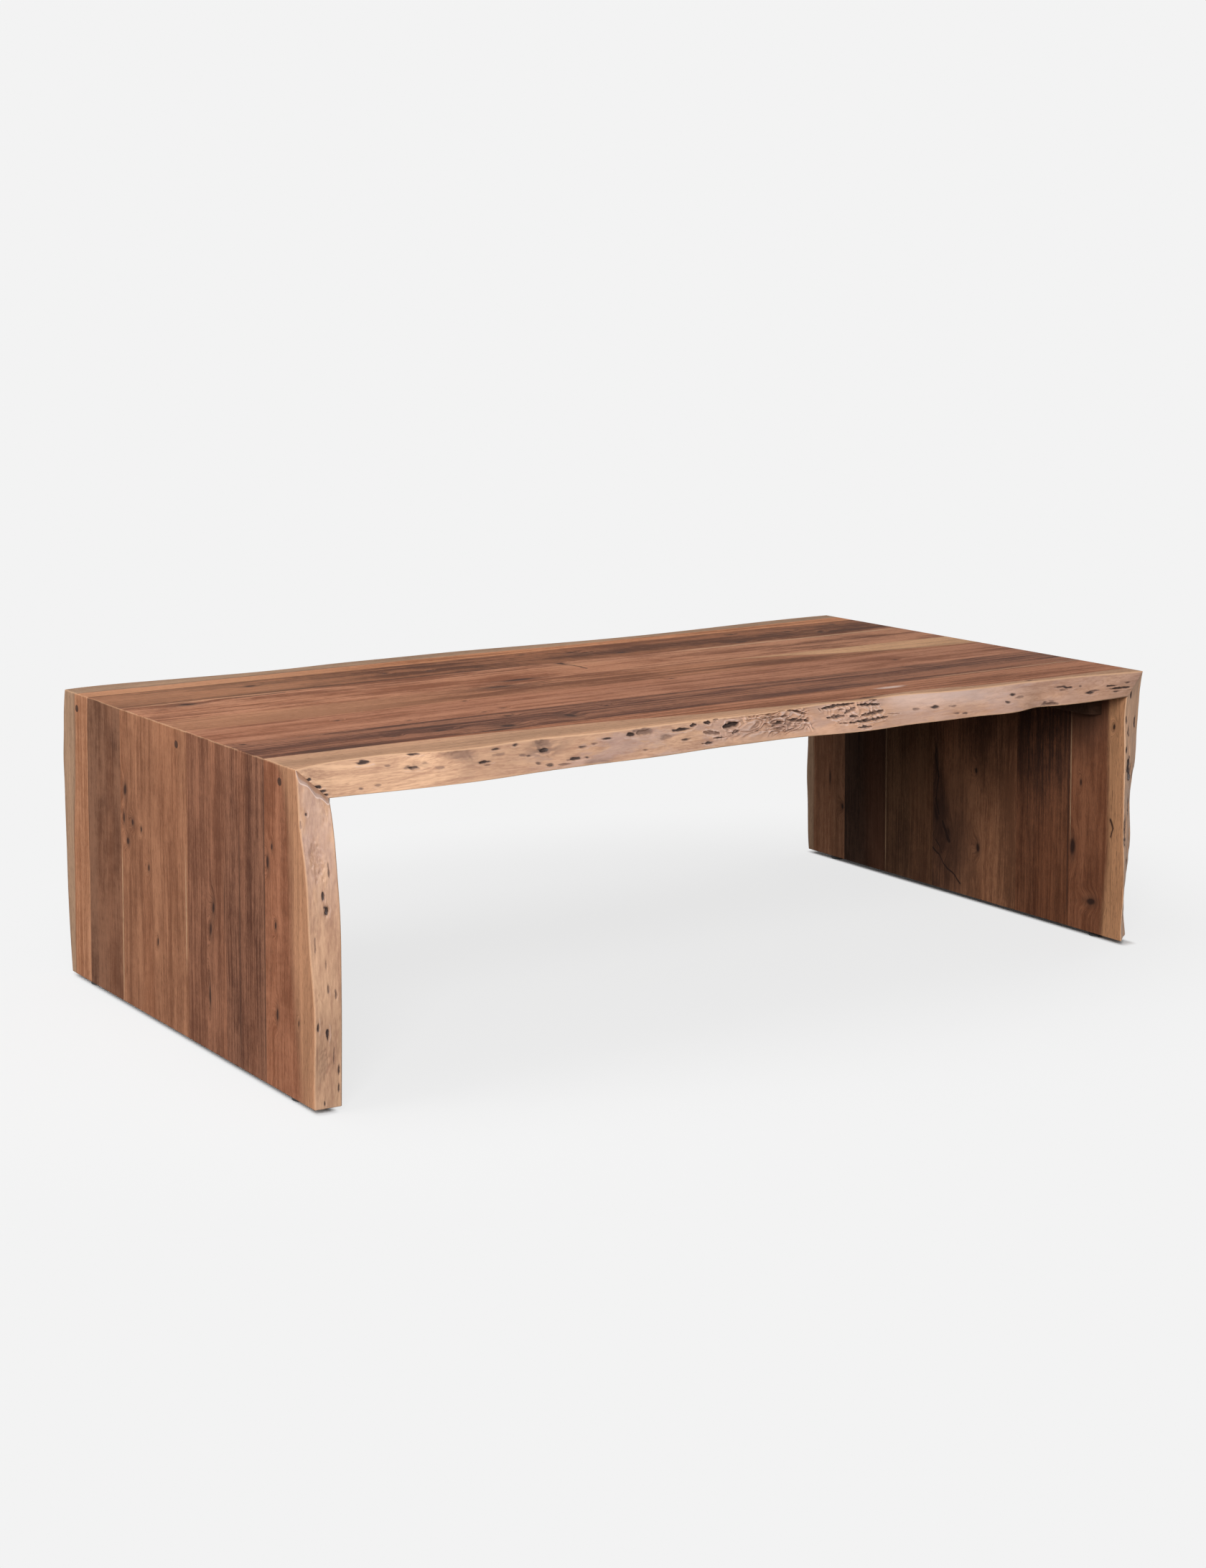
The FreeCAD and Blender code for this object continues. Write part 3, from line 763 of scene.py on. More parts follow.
class Shader:
    """The nodes of a new material, or of the world, added by calls."""

    def __init__(self, name, world=None):
        self.material = world or bpy.data.materials.new(name)
        self.material.use_nodes = True
        self.tree = self.material.node_tree
        self.tree.nodes.clear()

    def node(self, kind, settings, sockets, output=0):
        """Adds a node: its settings first, then the values or links of its sockets."""
        made = self.tree.nodes.new("ShaderNode" + kind)
        for key, setting in settings.items():
            if key == "stops":
                for number, (place, shade) in enumerate(setting):
                    while len(made.color_ramp.elements) <= number:
                        made.color_ramp.elements.new(place)
                    made.color_ramp.elements[number].position = place
                    made.color_ramp.elements[number].color = (*shade, 1.0)
            elif key == "points":
                points = made.mapping.curves[0].points
                while len(points) < len(setting):
                    points.new(0.5, 0.5)
                for point, place in zip(points, setting):
                    point.location = place
                made.mapping.update()
            else:
                setattr(made, key, setting)
        for key, given in sockets.items():
            socket = made.inputs[key]
            if isinstance(given, Value):
                self.tree.links.new(given.socket, socket)
            elif socket.type == "RGBA":
                socket.default_value = (*given, 1.0)
            else:
                socket.default_value = given
        return Value(self, made.outputs[output])

    def maths(self, operation, one, two=0.0):
        """A sum with one or two numbers."""
        return self.node("Math", {"operation": operation}, {0: one, 1: two})

    def vector(self, operation, sockets, output=0):
        """A sum with vectors; the second output is a plain number."""
        return self.node("VectorMath", {"operation": operation}, sockets, output)

    def noise(self, place, scale, detail=2.0, roughness=0.5):
        """Noise from 0 to 1 with its own scale along each axis, in cells per metre."""
        spread = self.vector("MULTIPLY", {0: place, 1: scale})
        sockets = {"Vector": spread, "Scale": 1.0, "Detail": detail, "Roughness": roughness}
        return self.node("TexNoise", {"noise_dimensions": "3D"}, sockets)

    def swing(self, place, scale, detail=2.0, roughness=0.5):
        """The same noise, from -0.5 to 0.5."""
        return self.noise(place, scale, detail, roughness) - 0.5

    def ease(self, value, low, high):
        """Smooth step from 0 at low to 1 at high."""
        sockets = {"Value": value, "From Min": low, "From Max": high, "To Min": 0.0, "To Max": 1.0}
        return self.node("MapRange", {"interpolation_type": "SMOOTHSTEP"}, sockets)

    def zone(self, value, rise, fall):
        """1 between two soft ends, each given as (from, to)."""
        return self.ease(value, *rise) * (1 - self.ease(value, *fall))

    def smallest(self, values):
        """The smallest of several values."""
        least, *others = values
        for value in others:
            least = self.maths("MINIMUM", least, value)
        return least

    def mix(self, share, one, two):
        """A colour between two colours."""
        return self.node("Mix", {"data_type": "RGBA"}, {0: share, 6: one, 7: two}, 2)

    def coats(self, shade, *layers):
        """A colour under layers of (cover, colour), the last one on top."""
        for cover, over in layers:
            shade = self.mix(cover, shade, over)
        return shade

    def attribute(self, name):
        """A value that the mesh carries at each of its points."""
        return self.node("Attribute", {"attribute_type": "GEOMETRY", "attribute_name": name}, {}, 2)

    def place(self, slab):
        """Place in a slab's measures: along the grain, across it, and above the outer face."""
        source = self.node("TexCoord", {}, {}, 3)
        settings = {"vector_type": "POINT"}
        return self.node("Mapping", settings, {"Vector": source, "Location": slab.shift,
                                               "Rotation": slab.turn})

    def split(self, vector):
        """The three parts of a vector."""
        made = self.node("SeparateXYZ", {}, {0: vector})
        outputs = made.socket.node.outputs
        return [Value(self, outputs[axis]) for axis in range(3)]

    def join(self, x, y, z):
        """A vector from its three parts."""
        return self.node("CombineXYZ", {}, {0: x, 1: y, 2: z})

    def finish(self, settings, height=None, strength=0.4, distance=0.3 * mm):
        """The principled surface, with a bump where a height is given."""
        sockets = dict(settings)
        if height is not None:
            sockets["Normal"] = self.node("Bump", {}, {"Height": height, "Strength": strength,
                                                       "Distance": distance})
        surface = self.node("BsdfPrincipled", {}, sockets)
        self.node_output(surface)
        return self.material

    def node_output(self, surface):
        """Makes a surface the material's own."""
        end = self.tree.nodes.new("ShaderNodeOutputMaterial")
        self.tree.links.new(surface.socket, end.inputs["Surface"])


@dataclass
class Look:
    """How one board looks: its two shades, the size of its bands and how wild its grain is."""

    dark: tuple
    light: tuple
    seed: float
    bands: float = 26.0
    streaks: float = 1.0
    clouds: float = 0.35
    wave: float = 0.02
    figure: float = 0.3
    mottle: float = 0.35
    marks: tuple = ()
    cracks: tuple = ()
    lines: tuple = ()
    stains: tuple = ()
    sap: tuple = ()


# Marks are (place along, y, half length, half width) in mm, where the place along is x on the top
# and z on a leg. Lines are (y, half width, from, to, pale or dark). Stains are (place along, y,
# half length, half width, how strong). Sap is (side, softness, which sapwood, points of its edge).
LOOKS = {
    "top_board_7": Look(
        (0.280, 0.110, 0.050), (0.610, 0.270, 0.138), 1.0, bands=34, streaks=1.7, figure=0.5, wave=0.008,
        sap=(1, 4, "green_sap", ((-684, 322), (-400, 325), (-100, 326), (150, 318), (420, 321), (684, 326))),
        lines=((327, 1.6, -684, -140, "dark"), (290, 1.2, -100, 684, "dark")),
        stains=((-520, 306, 330, 60, 0.75, "leg_sap"),)),
    "top_board_6": Look(
        (0.098, 0.039, 0.022), (0.280, 0.118, 0.062), 2.0, bands=20, streaks=1.8, figure=0.9, clouds=0.75,
        wave=0.022,
        marks=((-459, 245, 11, 5), (-247, 235, 5, 3), (-179, 222, 7, 4), (-103, 212, 5, 3),
               (13, 272, 7, 3), (88, 250, 10, 5), (104, 236, 9, 4), (156, 209, 10, 5), (375, 193, 16, 5),
               (409, 265, 8, 4), (504, 239, 9, 5), (545, 206, 7, 6), (620, 265, 9, 4)),
        lines=((186, 2.4, -684, -60, "dark"),), mottle=0.8,
        stains=((-560, 230, 300, 90, 0.35, "leg_sap"), (560, 235, 150, 60, 0.55, "dark_line"),
                (100, 243, 60, 30, 0.6, "dark_line"), (-420, 250, 60, 20, 0.25, "dark_line"))),
    "top_board_5": Look(
        (0.200, 0.075, 0.040), (0.480, 0.225, 0.130), 3.0, bands=26, streaks=1.7, figure=1.5, wave=0.055,
        marks=((-595, 158, 16, 9), (19, 172, 8, 7), (-117, 78, 34, 6)),
        cracks=((17, 168, 26, 112, 1.8), (-520, 166, -440, 172, 1.6)),
        lines=((170, 4.5, 230, 684, "pale"), (176, 2.0, -684, -430, "pale")),
        stains=((500, 110, 230, 60, 0.4, "dark_line"), (-600, 150, 60, 26, 0.3, "dark_line"),
                (40, 150, 60, 22, 0.45, "leg_sap"))),
    "top_board_4": Look(
        (0.180, 0.070, 0.037), (0.410, 0.185, 0.103), 4.0, bands=22, streaks=1.8, figure=0.8, clouds=0.5,
        wave=0.03,
        marks=((-170, 43, 30, 5),),
        sap=(1, 9, "gold_sap", ((-684, 62), (100, 60), (300, 46), (420, 14), (520, -6), (684, -22))),
        stains=((-530, 15, 300, 80, 0.42, "leg_sap"), (-140, 30, 110, 26, 0.35, "dark_line"),
                (260, 0, 160, 26, 0.3, "dark_line"))),
    "top_board_3": Look(
        (0.220, 0.085, 0.047), (0.430, 0.195, 0.115), 5.0, bands=20, streaks=1.6, figure=1, wave=0.045,
        marks=((-257, -106, 5, 2.4), (-295, -119, 4, 2), (-411, -119, 5, 2), (-486, -64, 5, 2.4),
               (71, -37, 5, 2), (453, -85, 5, 2.4), (-274, -32, 3, 3))),
    "top_board_2": Look(
        (0.085, 0.036, 0.025), (0.300, 0.132, 0.078), 6.0, bands=42, streaks=1.9, figure=0.6, clouds=0.5,
        wave=0.018,
        marks=((-663, -148, 5, 3), (-411, -202, 12, 4), (-479, -202, 6, 3), (-322, -222, 14, 9),
               (-216, -206, 8, 13), (-284, -161, 8, 4), (-131, -170, 5, 3), (-349, -240, 30, 4)),
        lines=((-241, 2.2, 380, 684, "pale"),),
        stains=((-424, -169, 70, 16, 0.75, "dark_line"), (-590, -236, 110, 9, 0.8, "dark_line"),
                (-330, -222, 60, 26, 0.6, "dark_line"), (-216, -206, 30, 26, 0.5, "dark_line"),
                (520, -185, 150, 22, 0.5, "dark_line"), (470, -155, 90, 12, 0.5, "dark_line"))),
    "top_board_1": Look(
        (0.180, 0.068, 0.036), (0.420, 0.185, 0.105), 7.0, bands=36, streaks=1.8, figure=0.5, wave=0.02,
        marks=((197, -321, 16, 4), (484, -341, 5, 2.4)),
        sap=(-1, 3, "sapwood", ((-684, -240), (-480, -247), (-344, -256), (-206, -268), (-69, -292),
                                (53, -303), (122, -314), (190, -320), (222, -314), (310, -314),
                                (410, -330), (684, -337))),
        stains=((282, -271, 34, 7, 0.9, "pale_edge_and_highlight"), (560, -350, 200, 14, 0.35, "inner_sap"))),
    "left_leg_board_6": Look(
        (0.310, 0.132, 0.068), (0.560, 0.275, 0.155), 8.0, bands=34, wave=0.008,
        sap=(1, 4, "green_sap", ((7, 340), (180, 340), (290, 334), (406, 332))),
        lines=((289, 1.8, 180, 406, "dark"),)),
    "left_leg_board_5": Look(
        (0.108, 0.048, 0.029), (0.255, 0.125, 0.075), 9.0, bands=14, streaks=0.7, figure=0.8, clouds=0.9,
        wave=0.04, mottle=0.7,
        lines=((290, 1.2, 7, 406, "dark"),),
        stains=((372, 200, 40, 24, 0.5, "dark_line"), (40, 250, 40, 26, 0.4, "dark_line"),
                (270, 235, 26, 40, 0.3, "dark_line"))),
    "left_leg_board_4": Look(
        (0.200, 0.083, 0.045), (0.410, 0.190, 0.105), 10.0, bands=22, streaks=0.95, figure=0.5, clouds=0.6,
        wave=0.022,
        marks=((300, 167, 11, 6), (260, 170, 9, 3), (230, 158, 6, 5), (258, 142, 5, 4), (253, 114, 5, 3),
               (205, 91, 5, 3), (113, 66, 7, 3)),
        lines=((177.6, 1.7, 7, 225, "pale"), (-21, 1.7, 95, 250, "pale")),
        stains=((265, 160, 40, 16, 0.3, "dark_line"),)),
    "left_leg_board_3": Look(
        (0.135, 0.054, 0.032), (0.340, 0.152, 0.088), 11.0, bands=44, streaks=0.8, figure=0.4, clouds=0.5,
        wave=0.014,
        marks=((195, -100, 10, 4), (165, -93, 11, 3), (80, -88.6, 17, 2.2)),
        lines=((-133, 2.0, 150, 260, "dark"),),
        stains=((190, -96, 60, 10, 0.35, "dark_line"),)),
    "left_leg_board_2": Look(
        (0.080, 0.032, 0.021), (0.310, 0.142, 0.085), 12.0, bands=70, streaks=0.75, figure=0.4, clouds=0.4,
        wave=0.01,
        lines=((-242.5, 2.0, 7, 406, "dark"), (-175, 2.0, 7, 330, "dark"))),
    "left_leg_board_1": Look(
        (0.200, 0.075, 0.040), (0.400, 0.170, 0.095), 13.0, bands=30, streaks=0.8, figure=0.5, clouds=0.5,
        mottle=0.6, wave=0.014,
        marks=((280, -253, 10, 4), (300, -265, 5, 2.6), (207, -272, 6, 3), (99, -274.6, 9, 4),
               (105, -327, 5, 2)),
        sap=(-1, 16, "leg_sap", ((7, -332), (110, -321), (190, -310), (280, -307), (337, -303), (406, -272))),
        stains=((190, -255, 120, 9, 0.3, "dark_line"), (330, -290, 60, 10, 0.25, "dark_line"))),
    # The right leg's colours are darkened with painted shade, for its inner face under the top;
    # board_material lifts them again on the outer face
    "right_leg_board_6": Look(
        (0.190, 0.085, 0.047), (0.380, 0.185, 0.105), 14.0, bands=30, wave=0.012,
        marks=((95, 271, 6, 4), (140, 303, 14, 2)),
        sap=(1, 4, "green_sap", ((7, 344), (200, 346), (406, 340)))),
    "right_leg_board_5": Look(
        (0.033, 0.018, 0.013), (0.092, 0.050, 0.034), 15.0, bands=18, streaks=0.8, clouds=0.6, wave=0.02),
    "right_leg_board_4": Look(
        (0.095, 0.044, 0.025), (0.245, 0.125, 0.068), 16.0, bands=34, streaks=0.6, clouds=0.6, figure=0.4,
        wave=0.014,
        lines=((159.5, 1.4, 7, 406, "pale"),), stains=((50, 104, 110, 70, 0.5, "dark_line"),)),
    "right_leg_board_3": Look(
        (0.180, 0.078, 0.042), (0.450, 0.205, 0.108), 17.0, bands=24, streaks=0.55, clouds=0.6, figure=0.6,
        wave=0.05,
        marks=((215, 38, 34, 5), (132, 35, 24, 9), (98, 10, 14, 6), (210, -54.6, 6, 3),
               (90, -61, 9, 5)),
        cracks=((222, 40, 186, 32, 2.2), (186, 32, 150, 37, 1.6), (150, 38, 128, 30, 2.6),
                (118, 20, 86, 6, 2.8), (72, 43, 40, 10, 1.7), (46, 16, 22, -19, 1.6), (86, 36, 66, 22, 1.4)),
        # The last stain, high on the board, is painted shade under the top
        stains=((85, 10, 150, 80, 0.62, "halo_and_shade"), (70, 45, 210, 90, 0.9, "dark_line"),
                (110, 24, 62, 26, 0.8, "dark_line"), (190, 40, 110, 20, 1.1, "dark_line"),
                (130, 30, 46, 26, 0.5, "knot"), (330, -60, 150, 110, 0.7, "dark_line"))),
    "right_leg_board_2": Look(
        (0.095, 0.036, 0.020), (0.270, 0.110, 0.057), 18.0, bands=60, streaks=0.65, figure=0.5, wave=0.01,
        # The stain is painted shade high on the board, under the top
        lines=((-256, 2.0, 7, 406, "dark"),), stains=((330, -202, 200, 100, 1.5, "dark_line"),)),
    "right_leg_board_1": Look(
        (0.180, 0.066, 0.034), (0.370, 0.150, 0.078), 19.0, bands=26, streaks=0.65, clouds=0.6, wave=0.025,
        marks=((130, -266, 15, 6), (322, -347, 5, 2), (52, -304, 6, 10), (230, -282, 6, 2)),
        cracks=((184, -343, 172, -348, 1.6), (172, -348, 160, -345, 1.2)),
        sap=(-1, 8, "inner_sap", ((7, -324), (70, -330), (200, -336), (406, -333))),
        lines=((-261, 1.4, 130, 340, "pale"),),
        # The stain is painted shade in the corner under the top
        stains=((400, -285, 150, 80, 0.95, "halo_and_shade"),)),
}


def crack_distance(shader, place, slab, cracks):
    """Distance to the nearest crack in half widths; a crack is (place, y, place, y, half width)."""
    flat = shader.vector("MULTIPLY", {0: place, 1: (1, 1, 0)})
    gaps = []
    for run, y, far_run, far_y, half_width in cracks:
        start = Vector((grain_place(slab, run), y * mm, 0))
        way = Vector((grain_place(slab, far_run), far_y * mm, 0)) - start
        spot = shader.vector("SUBTRACT", {0: flat, 1: tuple(start)})
        along = shader.vector("DOT_PRODUCT", {0: spot, 1: tuple(way / way.length_squared)}, 1)
        foot = shader.vector("SCALE", {0: tuple(way), 3: shader.node("Clamp", {}, {0: along})})
        gaps.append(shader.vector("DISTANCE", {0: spot, 1: foot}, 1) * (1 / (half_width * mm)))
    return shader.smallest(gaps)


def mark_distance(shader, place, slab, marks):
    """Distance to the nearest mark, in units of the mark's own size."""
    gaps = []
    for run, y, half_run, half_width in marks:
        scale = (1 / (half_run * mm), 1 / (half_width * mm), 0)
        shift = (-grain_place(slab, run) * scale[0], -y * mm * scale[1], 0)
        moved = shader.vector("MULTIPLY_ADD", {0: place, 1: scale, 2: shift})
        gaps.append(shader.vector("LENGTH", {0: moved}, 1))
    return shader.smallest(gaps)


def curve_edge(shader, along, slab, points):
    """The y of a drawn boundary, as a smooth curve along the grain."""
    points = sorted((grain_place(slab, run), y * mm) for run, y in points)
    start, end = points[0][0], points[-1][0]
    low = min(y for _, y in points)
    high = max(y for _, y in points)
    rise = max(high - low, mm)
    shares = [((run - start) / (end - start), (y - low) / rise) for run, y in points]
    share = shader.node("MapRange", {}, {"Value": along, "From Min": start, "From Max": end})
    curve = shader.node("FloatCurve", {"points": shares}, {"Value": share})
    return curve * rise + low


# How far each board's grain is shifted, in metres for each whole seed
SEED_SHIFT = (3.1, 1.7, 0.9)


def sanded_wood(shader, place, slab, look, colours):
    """Colour, height and open pores of a sanded board."""
    offset = tuple(look.seed * part for part in SEED_SHIFT)
    seeded = shader.vector("ADD", {0: place, 1: offset})
    along, across, deep = shader.split(place)
    sway = shader.swing(seeded, (2.0, 6.5, 5.0))
    tremble = shader.swing(seeded, (11.0, 30.0, 20.0))
    bent = across + sway * look.wave + tremble * 0.005
    rough_place = shader.vector("ADD", {0: place, 1: shader.join(tremble * 0.016, tremble * 0.012, 0.0)})
    if look.marks:
        gap = mark_distance(shader, rough_place, slab, look.marks)
        bent = bent + (1 - shader.ease(gap, 0.5, 4.0)) * 0.012
    grain = shader.join(along + offset[0], bent + offset[1], deep + offset[2])
    broad = shader.swing(grain, (0.9, look.bands, 12.0), 2.0, 0.55)
    middle = shader.swing(grain, (3.6, 4.6 * look.bands, 60.0), 3.0, 0.62)
    narrow = shader.swing(grain, (10.0, 360.0, 260.0), 3.0, 0.65)
    fine = shader.swing(grain, (75.0, 850.0, 700.0), 2.0, 0.65)
    grit = shader.swing(grain, (260.0, 1500.0, 1200.0), 2.0, 0.6)
    clouds = shader.swing(seeded, (8.0, 20.0, 14.0), 4.0, 0.6)
    flame = shader.swing(seeded, (7.0, 26.0, 12.0), 4.0, 0.6)
    mottle = shader.swing(seeded, (60.0, 24.0, 20.0), 3.0, 0.65)
    pores = shader.ease(shader.noise(grain, (90.0, 1200.0, 900.0), 1.0), 0.58, 0.68)
    tone = 0.5 + broad * (1.25 * look.streaks) + middle * (1.5 * look.streaks) + narrow * 1.1
    tone = tone + fine * 0.9 + clouds * (2.0 * look.clouds) + flame * (1.7 * look.figure)
    tone = tone + mottle * look.mottle + grit * 0.55
    shade = shader.mix(shader.ease(tone, 0.04, 0.97), look.dark, look.light)
    warm = shader.ease(shader.noise(grain, (1.4, 17.0, 9.0), 1.0), 0.45, 0.75)
    shade = shader.mix(warm * 0.3, shade, shader.mix(0.5, shade, colours.warm))
    for *mark, strength, kind in look.stains:
        reach = mark_distance(shader, rough_place, slab, [mark])
        cover = (1 - shader.ease(reach, 0.25, 1.15)) * strength
        if kind == "dark_line":
            cover = cover * shader.ease(tone, 1.15, -0.1)
        shade = shader.mix(cover, shade, getattr(colours, kind))
    if look.sap:
        side, softness, kind, points = look.sap
        beyond = (across - curve_edge(shader, along, slab, points)) * side
        cover = shader.ease(beyond + middle * 0.006 + tremble * 0.008, -softness * mm * 0.5, softness * mm)
        sap_tone = 0.5 + broad * 1.4 + middle * 1.3 + narrow * 1.0 + fine * 0.7 + clouds * 0.6
        light = tuple(getattr(colours, kind))
        sap = shader.mix(shader.ease(sap_tone, 0.0, 1.0), dimmed(light, 0.6), light)
        shade = shader.coats(shade, (cover, sap), (cover * (1 - cover) * 0.72, colours.halo_and_shade))
    for y, half_width, start, end, kind in look.lines:
        off = shader.maths("ABSOLUTE", across - y * mm + middle * 0.002)
        cover = 1 - shader.ease(off, half_width * 0.4 * mm, half_width * mm)
        low, high = sorted((grain_place(slab, start), grain_place(slab, end)))
        cover = cover * shader.zone(along, (low - 0.02, low + 0.05), (high - 0.05, high + 0.02))
        shade = shader.mix(cover * 0.75, shade, getattr(colours, kind + "_line"))
    shade = shader.mix(pores * 0.45, shade, colours.halo_and_shade)
    height = narrow * 0.4 + fine * 0.5 + middle * 0.4 + grit * 0.4 - pores * 0.8
    for spots, distance in ((look.marks, mark_distance), (look.cracks, crack_distance)):
        if spots:
            gap = distance(shader, rough_place, slab, spots)
            core = 1 - shader.ease(gap, 0.45, 1.05)
            ring = (1 - shader.ease(gap, 0.7, 2.4)) * 0.5
            shade = shader.coats(shade, (ring, colours.halo_and_shade), (core * 0.9, colours.knot))
            height = height - core * 1.5
    # A paler band with breaks along the mitre arris: partly wear, partly a painted highlight of the rounded
    # edge
    arris = shader.maths("ABSOLUTE", half_length - shader.maths("ABSOLUTE", along))
    arris_highlight_and_wear = (1 - shader.ease(arris, 0.5 * mm, 2.2 * mm)) * shader.ease(clouds, -0.14, 0.06)
    return shader.mix(arris_highlight_and_wear * 0.45, shade, colours.pale_line), height, pores


def natural_wood(shader, place, colours, name):
    """Colour, height and fibres of the natural edge, where the bark came off."""

    def layer(cells_along, cells_across, detail, roughness=0.5):
        return shader.noise(place, (cells_along, cells_across, cells_across), detail, roughness)

    along, _, deep = shader.split(place)
    clouds = layer(8.0, 55.0, 4.0, 0.58)
    strands = layer(13.0, 260.0, 3.0, 0.62)
    specks = layer(110.0, 420.0, 2.0, 0.6)
    fibres = layer(55.0, 700.0, 3.0, 0.65)
    patches = layer(14.0, 48.0, 4.0, 0.62)
    veins = shader.maths("ABSOLUTE", layer(9.0, 75.0, 3.0, 0.6) - 0.5)
    tone = shader.ease(clouds * 0.9 + strands * 0.6 + specks * 0.3 + fibres * 0.4, 0.70, 1.31)
    golden = layer(3.2, 16.0, 3.0, 0.55) + shader.ease(along, 0.1, -0.6) * 0.3
    bare = shader.mix(shader.ease(golden, 0.45, 0.75), colours.bark_tan, colours.bark_gold)
    shade = shader.mix(tone, colours.bark_shade, bare)
    coats = [((1 - shader.ease(veins, 0.004, 0.03)) * 0.35, colours.bark_shade)]
    if name == "left_leg_board_1":
        mauve = shader.ease(along, -0.9, -0.76) * shader.ease(patches, 0.35, 0.55)
        smears = shader.ease(layer(20.0, 130.0, 3.0, 0.6), 0.5, 0.66)
        coats += [(0.22, colours.bark_shade), (mauve * 0.4, colours.bark_mauve),
                  (smears * 0.3, colours.bark_shade)]
    elif name == "right_leg_board_1":
        # Gold over the right leg's natural edge: golden wood, brightened with painted light where its front
        # is lit
        coats.append((shader.ease(along, -0.02, 0.1) * 0.6, colours.bark_gold))
    elif name == "top_board_1":
        brown = shader.zone(along, (-0.52, -0.42), (-0.26, -0.1))
        brown = shader.maths("MAXIMUM", brown, shader.ease(along, 0.42, 0.56) * 0.6)
        mauve = shader.ease(along, -0.42, -0.3) * shader.ease(patches, 0.45, 0.6)
        mauve = mauve * (1 - shader.ease(along, 0.45, 0.6) * 0.7)
        flecks = shader.ease(layer(60.0, 240.0, 3.0, 0.6), 0.54, 0.64) * shader.ease(along, -0.5, -0.38)
        low = shader.ease(along, 0.15, 0.25) * shader.ease(deep + patches * 0.02, -0.001, -0.013)
        burl = shader.zone(along, (-0.16, 0.03), (0.18, 0.27))
        grey = burl * shader.ease(layer(26.0, 70.0, 3.0), 0.44, 0.62)
        pale = shader.zone(along, (0.20, 0.25), (0.33, 0.52)) * shader.ease(deep, -0.030, -0.004)
        coats += [(brown * 0.38, colours.bark_shade), (mauve * 0.5, colours.bark_mauve),
                  (flecks * 0.35, colours.bark_shade), (low * 0.22, colours.bark_brown),
                  (burl * 0.35, colours.bark_brown), (grey * 0.22, colours.bark_grey),
                  (pale * 0.6, colours.pale_edge_and_highlight)]
    height = strands * 0.6 + specks * 0.4 + clouds * 0.7 + fibres * 0.4
    return shader.coats(shade, *coats), height, fibres


# How much lighter the right leg's outer face is than its inner face, whose colours are darkened with painted
# shade, and how strong the painted highlight of gold along a live rim is
UNSHADED_OUTER_LIFT = 0.5
RIM_HIGHLIGHT_SHARE = {TOP: 0.7, LEFT: 0.45, RIGHT: 0.45}


def board_material(name, slab, look, colours, live):
    """A board's material: sanded wood, and the natural edge where the live attribute says so."""
    shader = Shader(name)
    place = shader.place(slab)
    shade, height, pores = sanded_wood(shader, place, slab, look, colours)
    # The right leg's colours carry painted shade for its inner face; its outer face is lifted back towards
    # its unshaded colour
    if slab is RIGHT:
        outer = shader.ease(shader.split(place)[2], -0.02, -0.004)
        shade = shader.vector("SCALE", {0: shade, 3: 1 + outer * UNSHADED_OUTER_LIFT})
    surface = {"Roughness": 0.56 + pores * 0.2, "Specular IOR Level": 0.015}
    if live:
        bare = shader.attribute("live")
        hollow = shader.attribute("hollow")
        edge_shade, edge_height, fibres = natural_wood(shader, place, colours, name)
        # The hollow attribute darkens pits, grooves and dips, partly darker wood and partly painted shade,
        # and its negative values are painted highlights on lips and ridges; ragged frays the edge of that
        # shade
        ragged = hollow + (fibres - 0.5) * shader.ease(hollow, 0.05, 0.3) * 0.5
        cover = shader.ease(bare, 0.35, 0.8)
        # A painted highlight of gold along the rounded rim of the natural edge, stronger on the right leg's
        # front
        rim = shader.zone(bare, (0.02, 0.3), (0.45, 0.98))
        if name == "right_leg_board_1":
            rim_highlight = (rim, dimmed(colours.bark_gold, 1.2))
        else:
            rim_highlight = (rim * RIM_HIGHLIGHT_SHARE[slab], colours.bark_gold)
        coats = [(cover, edge_shade), rim_highlight, (shader.ease(0.0 - hollow, 0.05, 0.6) * 0.7, colours.pale_edge_and_highlight),
                 (shader.ease(ragged, 0.04, 0.45) * 0.7, colours.hollow),
                 (shader.ease(ragged, 0.48, 0.78), colours.pit)]
        if name == "left_leg_board_1":
            facet = shader.attribute("facet")
            warm = shader.ease(facet + edge_height * 0.2, 0.95, 1.25)
            # A painted highlight along the lower edge of the facet
            line = shader.zone(facet, (0.32, 0.44), (0.48, 0.58))
            coats += [(shader.ease(facet, 0.48, 0.56) * 0.85, colours.facet),
                      (warm * 0.75, colours.facet_warm),
                      (line * shader.ease(edge_height, 0.7, 1.15), colours.pale_edge_and_highlight)]
        shade = shader.coats(shade, *coats)
        height = height * (1 - cover) + edge_height * cover * 2.2
        surface |= {"Coat Weight": cover * 0.35, "Coat Roughness": 0.36}
    return shader.finish({"Base Color": shade, **surface}, height, 0.5, 0.35 * mm)


def plain_wood(name, slab, dark, light, scale=1.0):
    """Straight grain for a small piece."""
    shader = Shader(name)
    place = shader.place(slab)
    bands = shader.noise(place, (8.0 * scale, 160.0 * scale, 160.0 * scale), 3.0, 0.6)
    fibres = shader.noise(place, (50.0 * scale, 1400.0, 1400.0), 2.0, 0.6)
    tone = shader.ease(bands * 0.7 + fibres * 0.45, 0.35, 0.85)
    shade = shader.mix(tone, dark, light)
    return shader.finish({"Base Color": shade, "Roughness": 0.5 + fibres * 0.15, "Specular IOR Level": 0.03},
                         fibres, 0.4, 0.2 * mm)


